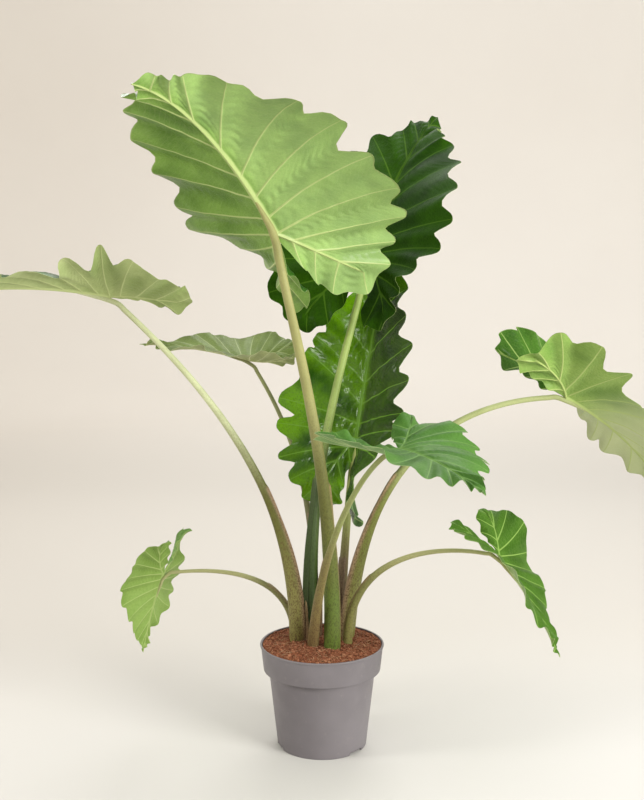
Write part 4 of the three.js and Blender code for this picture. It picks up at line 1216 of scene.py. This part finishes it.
# %% Stalk path and rings
ROOT_TOP = 150.0
SWELL_FULL = 0.1
SWELL_FADE = 0.16
SHEATH_GROOVE = 0.3
SHEATH_END = 0.45
LONG_SHEATHS = {"far_right": 0.52}
SHEATH_LIP = 0.22  # how far the sheath's upper end stands out, of the radius
WING_TURN = 0.62  # radians from the channel's middle to each wing
RUN_ON = (14.0, 32.0, 54.0, 80.0)


def stalk_path(leaf, rings):
    """Cubic Bezier from the rootstock to the blade at equal lengths, then points just
    under the midrib, joined by one spline. Gives points, tangents, shares of the stalk's
    length, radii and lengths."""
    foot = np.array([*leaf["foot"], ROOT_TOP + 0.3])
    lean, reach, at = (np.array(leaf[key], float) for key in ("lean", "reach", "at"))
    t = np.linspace(0, 1, 400)[:, None]
    curve = ((1 - t) ** 3 * foot + 3 * t * (1 - t) ** 2 * lean + 3 * t ** 2 * (1 - t) * reach
             + t ** 3 * at)
    length = length_along(curve)
    even = np.linspace(0, length[-1] - 1.6 * leaf["radius"][1] - 9, 46)
    body = sampled(even, length, curve)
    ahead = np.array(RUN_ON) * (0.55 + leaf["front"] / 1000)
    slim = leaf["radius"][1] * np.array([0.93, 0.75, 0.5, 0.2])
    flat = np.stack([ahead, 0 * ahead], -1)
    under = blade_in_space(leaf, flat, 1, -SHEET / 2 - slim) / MM
    keys = np.concatenate([body, under])
    t = np.linspace(0, len(keys) - 1, 1500)
    dense = spline(keys, t)
    full = length_along(dense)
    place = np.linspace(0, full[-1], rings)
    path = sampled(place, full, dense)
    tangent = unit(np.gradient(path, axis=0))
    share = place / length[-1]
    foot_radius, top_radius, swell, taper = leaf["radius"]
    swelling = smooth(share / SWELL_FULL) * (
        1 - smooth((share - SWELL_FADE) / (SHEATH_END - SWELL_FADE)))
    stem = top_radius + (foot_radius - top_radius) * np.clip(1 - share, 0, 1) ** taper
    stem = stem + swell * swelling
    body_end = even[-1]
    ends = np.concatenate([[0, body_end], body_end + (full[-1] - body_end)
                           * np.array([0.25, 0.5, 0.75, 1.0])])
    slimming = np.interp(place, ends, np.concatenate([[1, 1], slim / top_radius]))
    return path, tangent, share, stem * slimming, place


def ring_axes(leaf, tangent):
    """Unit vectors square to the path at each ring: one level, one to the clump's middle."""
    outward = np.array([leaf["at"][0] - leaf["foot"][0], leaf["at"][1] - leaf["foot"][1], 0.0])
    side = np.cross([0.0, 0.0, 1.0], unit(outward))
    side = unit(side - tangent * (tangent @ side)[:, None])
    return side, np.cross(tangent, side)


def ring_points(path, axes, reach, angle):
    """path + reach (side cos a + inner sin a), a ring or a strip of points at each row."""
    side, inner = axes
    way = side[:, None] * np.cos(angle)[..., None] + inner[:, None] * np.sin(angle)[..., None]
    return path[:, None] + reach[..., None] * way


def stalk_grid(leaf, end, rings=190, sides=48):
    """Ring k at angle a: path + radius (1 - groove + wings) (side cos a + inner sin a). The
    groove faces inwards, the wings stand 36 degrees to either side of it."""
    path, tangent, share, radius, place = stalk_path(leaf, rings)
    angle = np.linspace(0, 2 * np.pi, sides, endpoint=False)
    sheath = 1 - smooth(share / end)
    facing = np.maximum(0, np.sin(angle)) ** 8
    off = np.abs((angle - np.pi / 2 + np.pi) % (2 * np.pi) - np.pi)
    wing = np.exp(-((off - WING_TURN) / 0.13) ** 2)
    wing_on = smooth((end - share) / 0.012) * (0.35 + 0.65 * smooth(share / 0.08))
    groove = SHEATH_GROOVE * sheath[:, None] * facing
    groove = groove + 0.05 * wing_on[:, None] * smooth((0.5 - off) / 0.2)
    shape = 1 - groove + 0.10 * wing_on[:, None] * wing
    lip = smooth((share - end + 0.1) / 0.09) * smooth((end - share) / 0.01)
    shape = shape + SHEATH_LIP * lip[:, None] * smooth((0.95 - off) / 0.35)
    shape = shape + 0.012 * patchy(angle * 2.5, place[:, None] / 45.0, 1.0, 31)
    points = ring_points(path, ring_axes(leaf, tangent), radius[:, None] * shape, angle)
    tip = np.broadcast_to(path[-1] + tangent[-1] * radius[-1], (1, sides, 3))
    foot = np.broadcast_to(path[:1][:, None], (1, sides, 3))
    points = np.concatenate([foot, points, tip]) * MM
    up, along = (np.concatenate([values[:1], values, values[-1:]])[:, None]
                 for values in (share, place))
    uv = np.stack(np.broadcast_arrays(angle * leaf["radius"][0] / 100, along / 100), -1)
    return {"points": points, "ring": True, "uv": uv, "marks": {"up": up, "inner": off}}


# %% [markdown]
# ### Stalk skin
# Three tones run up a stalk: its foot, a waist often darker than it, and a paler top near
# the blade. The sheath is speckled brown and its margins are dry and pinkish brown. The
# gradient reads how far up the stalk a point is, and the speckle is noise stretched along.

# %% Stalk material
def stalk_skin(name, end, foot, waist, top, speckle, dry, amount):
    """Skin of one stalk. end is the share of its length at which its sheath ends, dry the
    colour of the sheath's inside and margins, and amount how strong the speckle is."""
    material, tree, skin = new_material(name, 0.5, 0.25)
    place = here(tree)
    up = mark(tree, "up")
    tone = blend(tree, between(tree, up, 0.12, 0.38), foot, waist)
    tone = blend(tree, between(tree, up, 0.4, 0.66), tone, top)
    drift = between(tree, noise(tree, place, 14.0, 3.0), 0.35, 0.7)
    tone = blend(tree, times(tree, drift, 0.3), tone, waist)
    streaked = stretched(tree, place, (1.0, 1.0, 0.6))
    specks = between(tree, noise(tree, streaked, 450.0, 3.0, 0.6), 0.48, 0.6)
    low = between(tree, up, 0.1, 0.8, 1.0, 0.15)
    specks = times(tree, specks, times(tree, low, amount))
    tone = blend(tree, specks, tone, speckle)
    inside = between(tree, mark(tree, "inner"), 0.8, 1.5, 1.0, 0.0)
    sheath = times(tree, inside, between(tree, up, end - 0.015, end, 0.75, 0.0))
    tone = blend(tree, sheath, tone, blend(tree, times(tree, specks, 1.2), dry, speckle))
    edge = sums(tree, "ABSOLUTE", sums(tree, "SUBTRACT", mark(tree, "inner"), WING_TURN))
    edge = times(tree, between(tree, edge, 0.03, 0.13, 1.0, 0.0),
                between(tree, up, end - 0.015, end, 0.8, 0.0))
    tone = blend(tree, edge, tone, blend(tree, specks, dry, speckle))
    paint(tree, skin, tone)
    fibres_along = noise(tree, stretched(tree, flat_map(tree), (60.0, 2.0, 1.0)), 1.0, 3.0)
    bumps(tree, skin, [(fibres_along, 0.35 * MM, 0.5), (specks, 0.2 * MM, 0.3)])
    return material


STALK_FINISH = {
    # name: foot, waist, top, speckle, dry sheath, amount of speckle
    "high_left": ((92, 112, 44), (98, 100, 48), (160, 158, 102), (56, 50, 26), (146, 128, 86), 0.55),
    "high_right": ((54, 74, 26), (74, 94, 42), (156, 176, 98), (38, 42, 22), (60, 78, 38), 0.5),
    "centre": ((104, 92, 62), (110, 100, 64), (132, 142, 76), (70, 52, 40), (118, 98, 80), 0.6),
    "front_right": ((122, 104, 66), (122, 112, 66), (146, 156, 96), (84, 62, 44),
                    (146, 118, 90), 0.7),
    "far_left": ((138, 132, 76), (100, 102, 46), (196, 202, 158), (84, 62, 40),
                 (168, 138, 112), 0.7),
    "back_left": ((104, 102, 66), (104, 104, 66), (146, 150, 102), (76, 64, 46),
                  (130, 112, 86), 0.5),
    "far_right": ((140, 140, 78), (108, 116, 52), (166, 174, 120), (84, 62, 40),
                  (176, 144, 116), 0.7),
    "low_right": ((128, 126, 70), (130, 132, 76), (176, 176, 122), (92, 72, 48),
                  (150, 130, 96), 0.6),
    "low_left": ((136, 132, 86), (134, 134, 86), (174, 174, 124), (98, 80, 54),
                 (150, 132, 98), 0.5),
}
for name, leaf in LEAVES.items():
    *tones, amount = STALK_FINISH[name]
    end = LONG_SHEATHS.get(name, SHEATH_END)
    skin_of = stalk_skin(f"stalk_skin_{name}", end, *(colour(*c) for c in tones), amount)
    stalk = new_piece(f"petiole_{name}", [stalk_grid(leaf, end)], [skin_of])
    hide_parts(f"stalk_{name}")

# %% [markdown]
# ## Dry sheaths
# Where an old leaf has died, the dry brown foot of its sheath still wraps the stalk beside
# it. Each is a strip cut from a tube around that stalk, which narrows to a torn point and
# peels away as it rises. The pale one is seen in the photograph; the others are guessed.

# %% Dry sheath strips
DRY_SHEATHS = [
    # stalk, middle angle and half width in degrees, lowest and highest share, peel in mm
    ("far_left", 50.0, 13.0, 0.03, 0.16, 1.5),
    ("high_right", 226.0, 40.0, 0.03, 0.27, 9.0),
    ("centre", 95.0, 36.0, 0.05, 0.30, 3.0),
    ("back_left", 20.0, 40.0, 0.05, 0.26, 3.0),
]
SHEATH_CLEARANCE = 0.8
SHEATH_THICKNESS = 0.5


def dry_sheath_grid(name, middle, half_width, low, high, peel, seed, rows=70, columns=16):
    """Row u, column v: path + (radius 1.12 + clearance + peel sqrt(u) + curl) off the axis,
    at the angle middle + half width * narrowing(u) * v. The loop runs out and back."""
    leaf = LEAVES[name]
    path, tangent, share, radius, _ = stalk_path(leaf, 600)
    u = np.linspace(0.0, 1.0, rows)
    at = low + (high - low) * u
    path, tangent = (sampled(at, share, values) for values in (path, tangent))
    radius = np.interp(at, share, radius)
    v = np.linspace(-1.0, 1.0, columns)
    v = np.concatenate([v, v[::-1]])[None, :]
    torn = 1 + 0.25 * patchy(9.0 * u, seed + 0.0 * u, 1.0, 51)
    width = np.radians(half_width) * np.sqrt(1 - u ** 3) * torn
    angle = np.radians(middle) + width[:, None] * v
    curl = 1.2 * u[:, None] * v ** 2
    thick = SHEATH_THICKNESS / 2 * np.sqrt(1 - u ** 4)[:, None] * np.repeat([1, -1], columns)
    reach = (radius * 1.12 + SHEATH_CLEARANCE + peel * np.sqrt(u))[:, None] + curl + thick
    points = ring_points(path, ring_axes(leaf, tangent), reach, angle)
    foot = np.broadcast_to(points[:1].mean(1, keepdims=True), (1, 2 * columns, 3))
    points = np.concatenate([foot, points]) * MM
    shade = np.full(points.shape[:2], 1.0 if name == "far_left" else 0.25)
    uv = np.stack([np.concatenate([angle[:1], angle]),
                   np.broadcast_to(np.append(0.0, at)[:, None] * 9.0, points.shape[:2])], -1)
    return {"points": points, "ring": True, "uv": uv, "marks": {"shade": shade}}


def dry_paper():
    """Dull brown paper with long fibres; shade picks between dark and bleached."""
    material, tree, skin = new_material("dry_sheath", 0.85, 0.15)
    tone = blend(tree, mark(tree, "shade"), colour(84, 66, 46), colour(226, 198, 158))
    long_fibres = noise(tree, stretched(tree, flat_map(tree), (14.0, 1.5, 1.0)), 1.0, 3.0, 0.6)
    tone = blend(tree, between(tree, long_fibres, 0.35, 0.7), tone, colour(128, 100, 70))
    spots = between(tree, noise(tree, here(tree), 380.0, 3.0, 0.6), 0.52, 0.64)
    tone = blend(tree, times(tree, spots, 0.5), tone, colour(58, 42, 30))
    paint(tree, skin, tone)
    bumps(tree, skin, [(long_fibres, 0.6 * MM, 0.6)])
    return material


strips = [dry_sheath_grid(*row, seed) for seed, row in enumerate(DRY_SHEATHS)]
dry_sheaths = new_piece("dry_sheaths", strips, [dry_paper()])
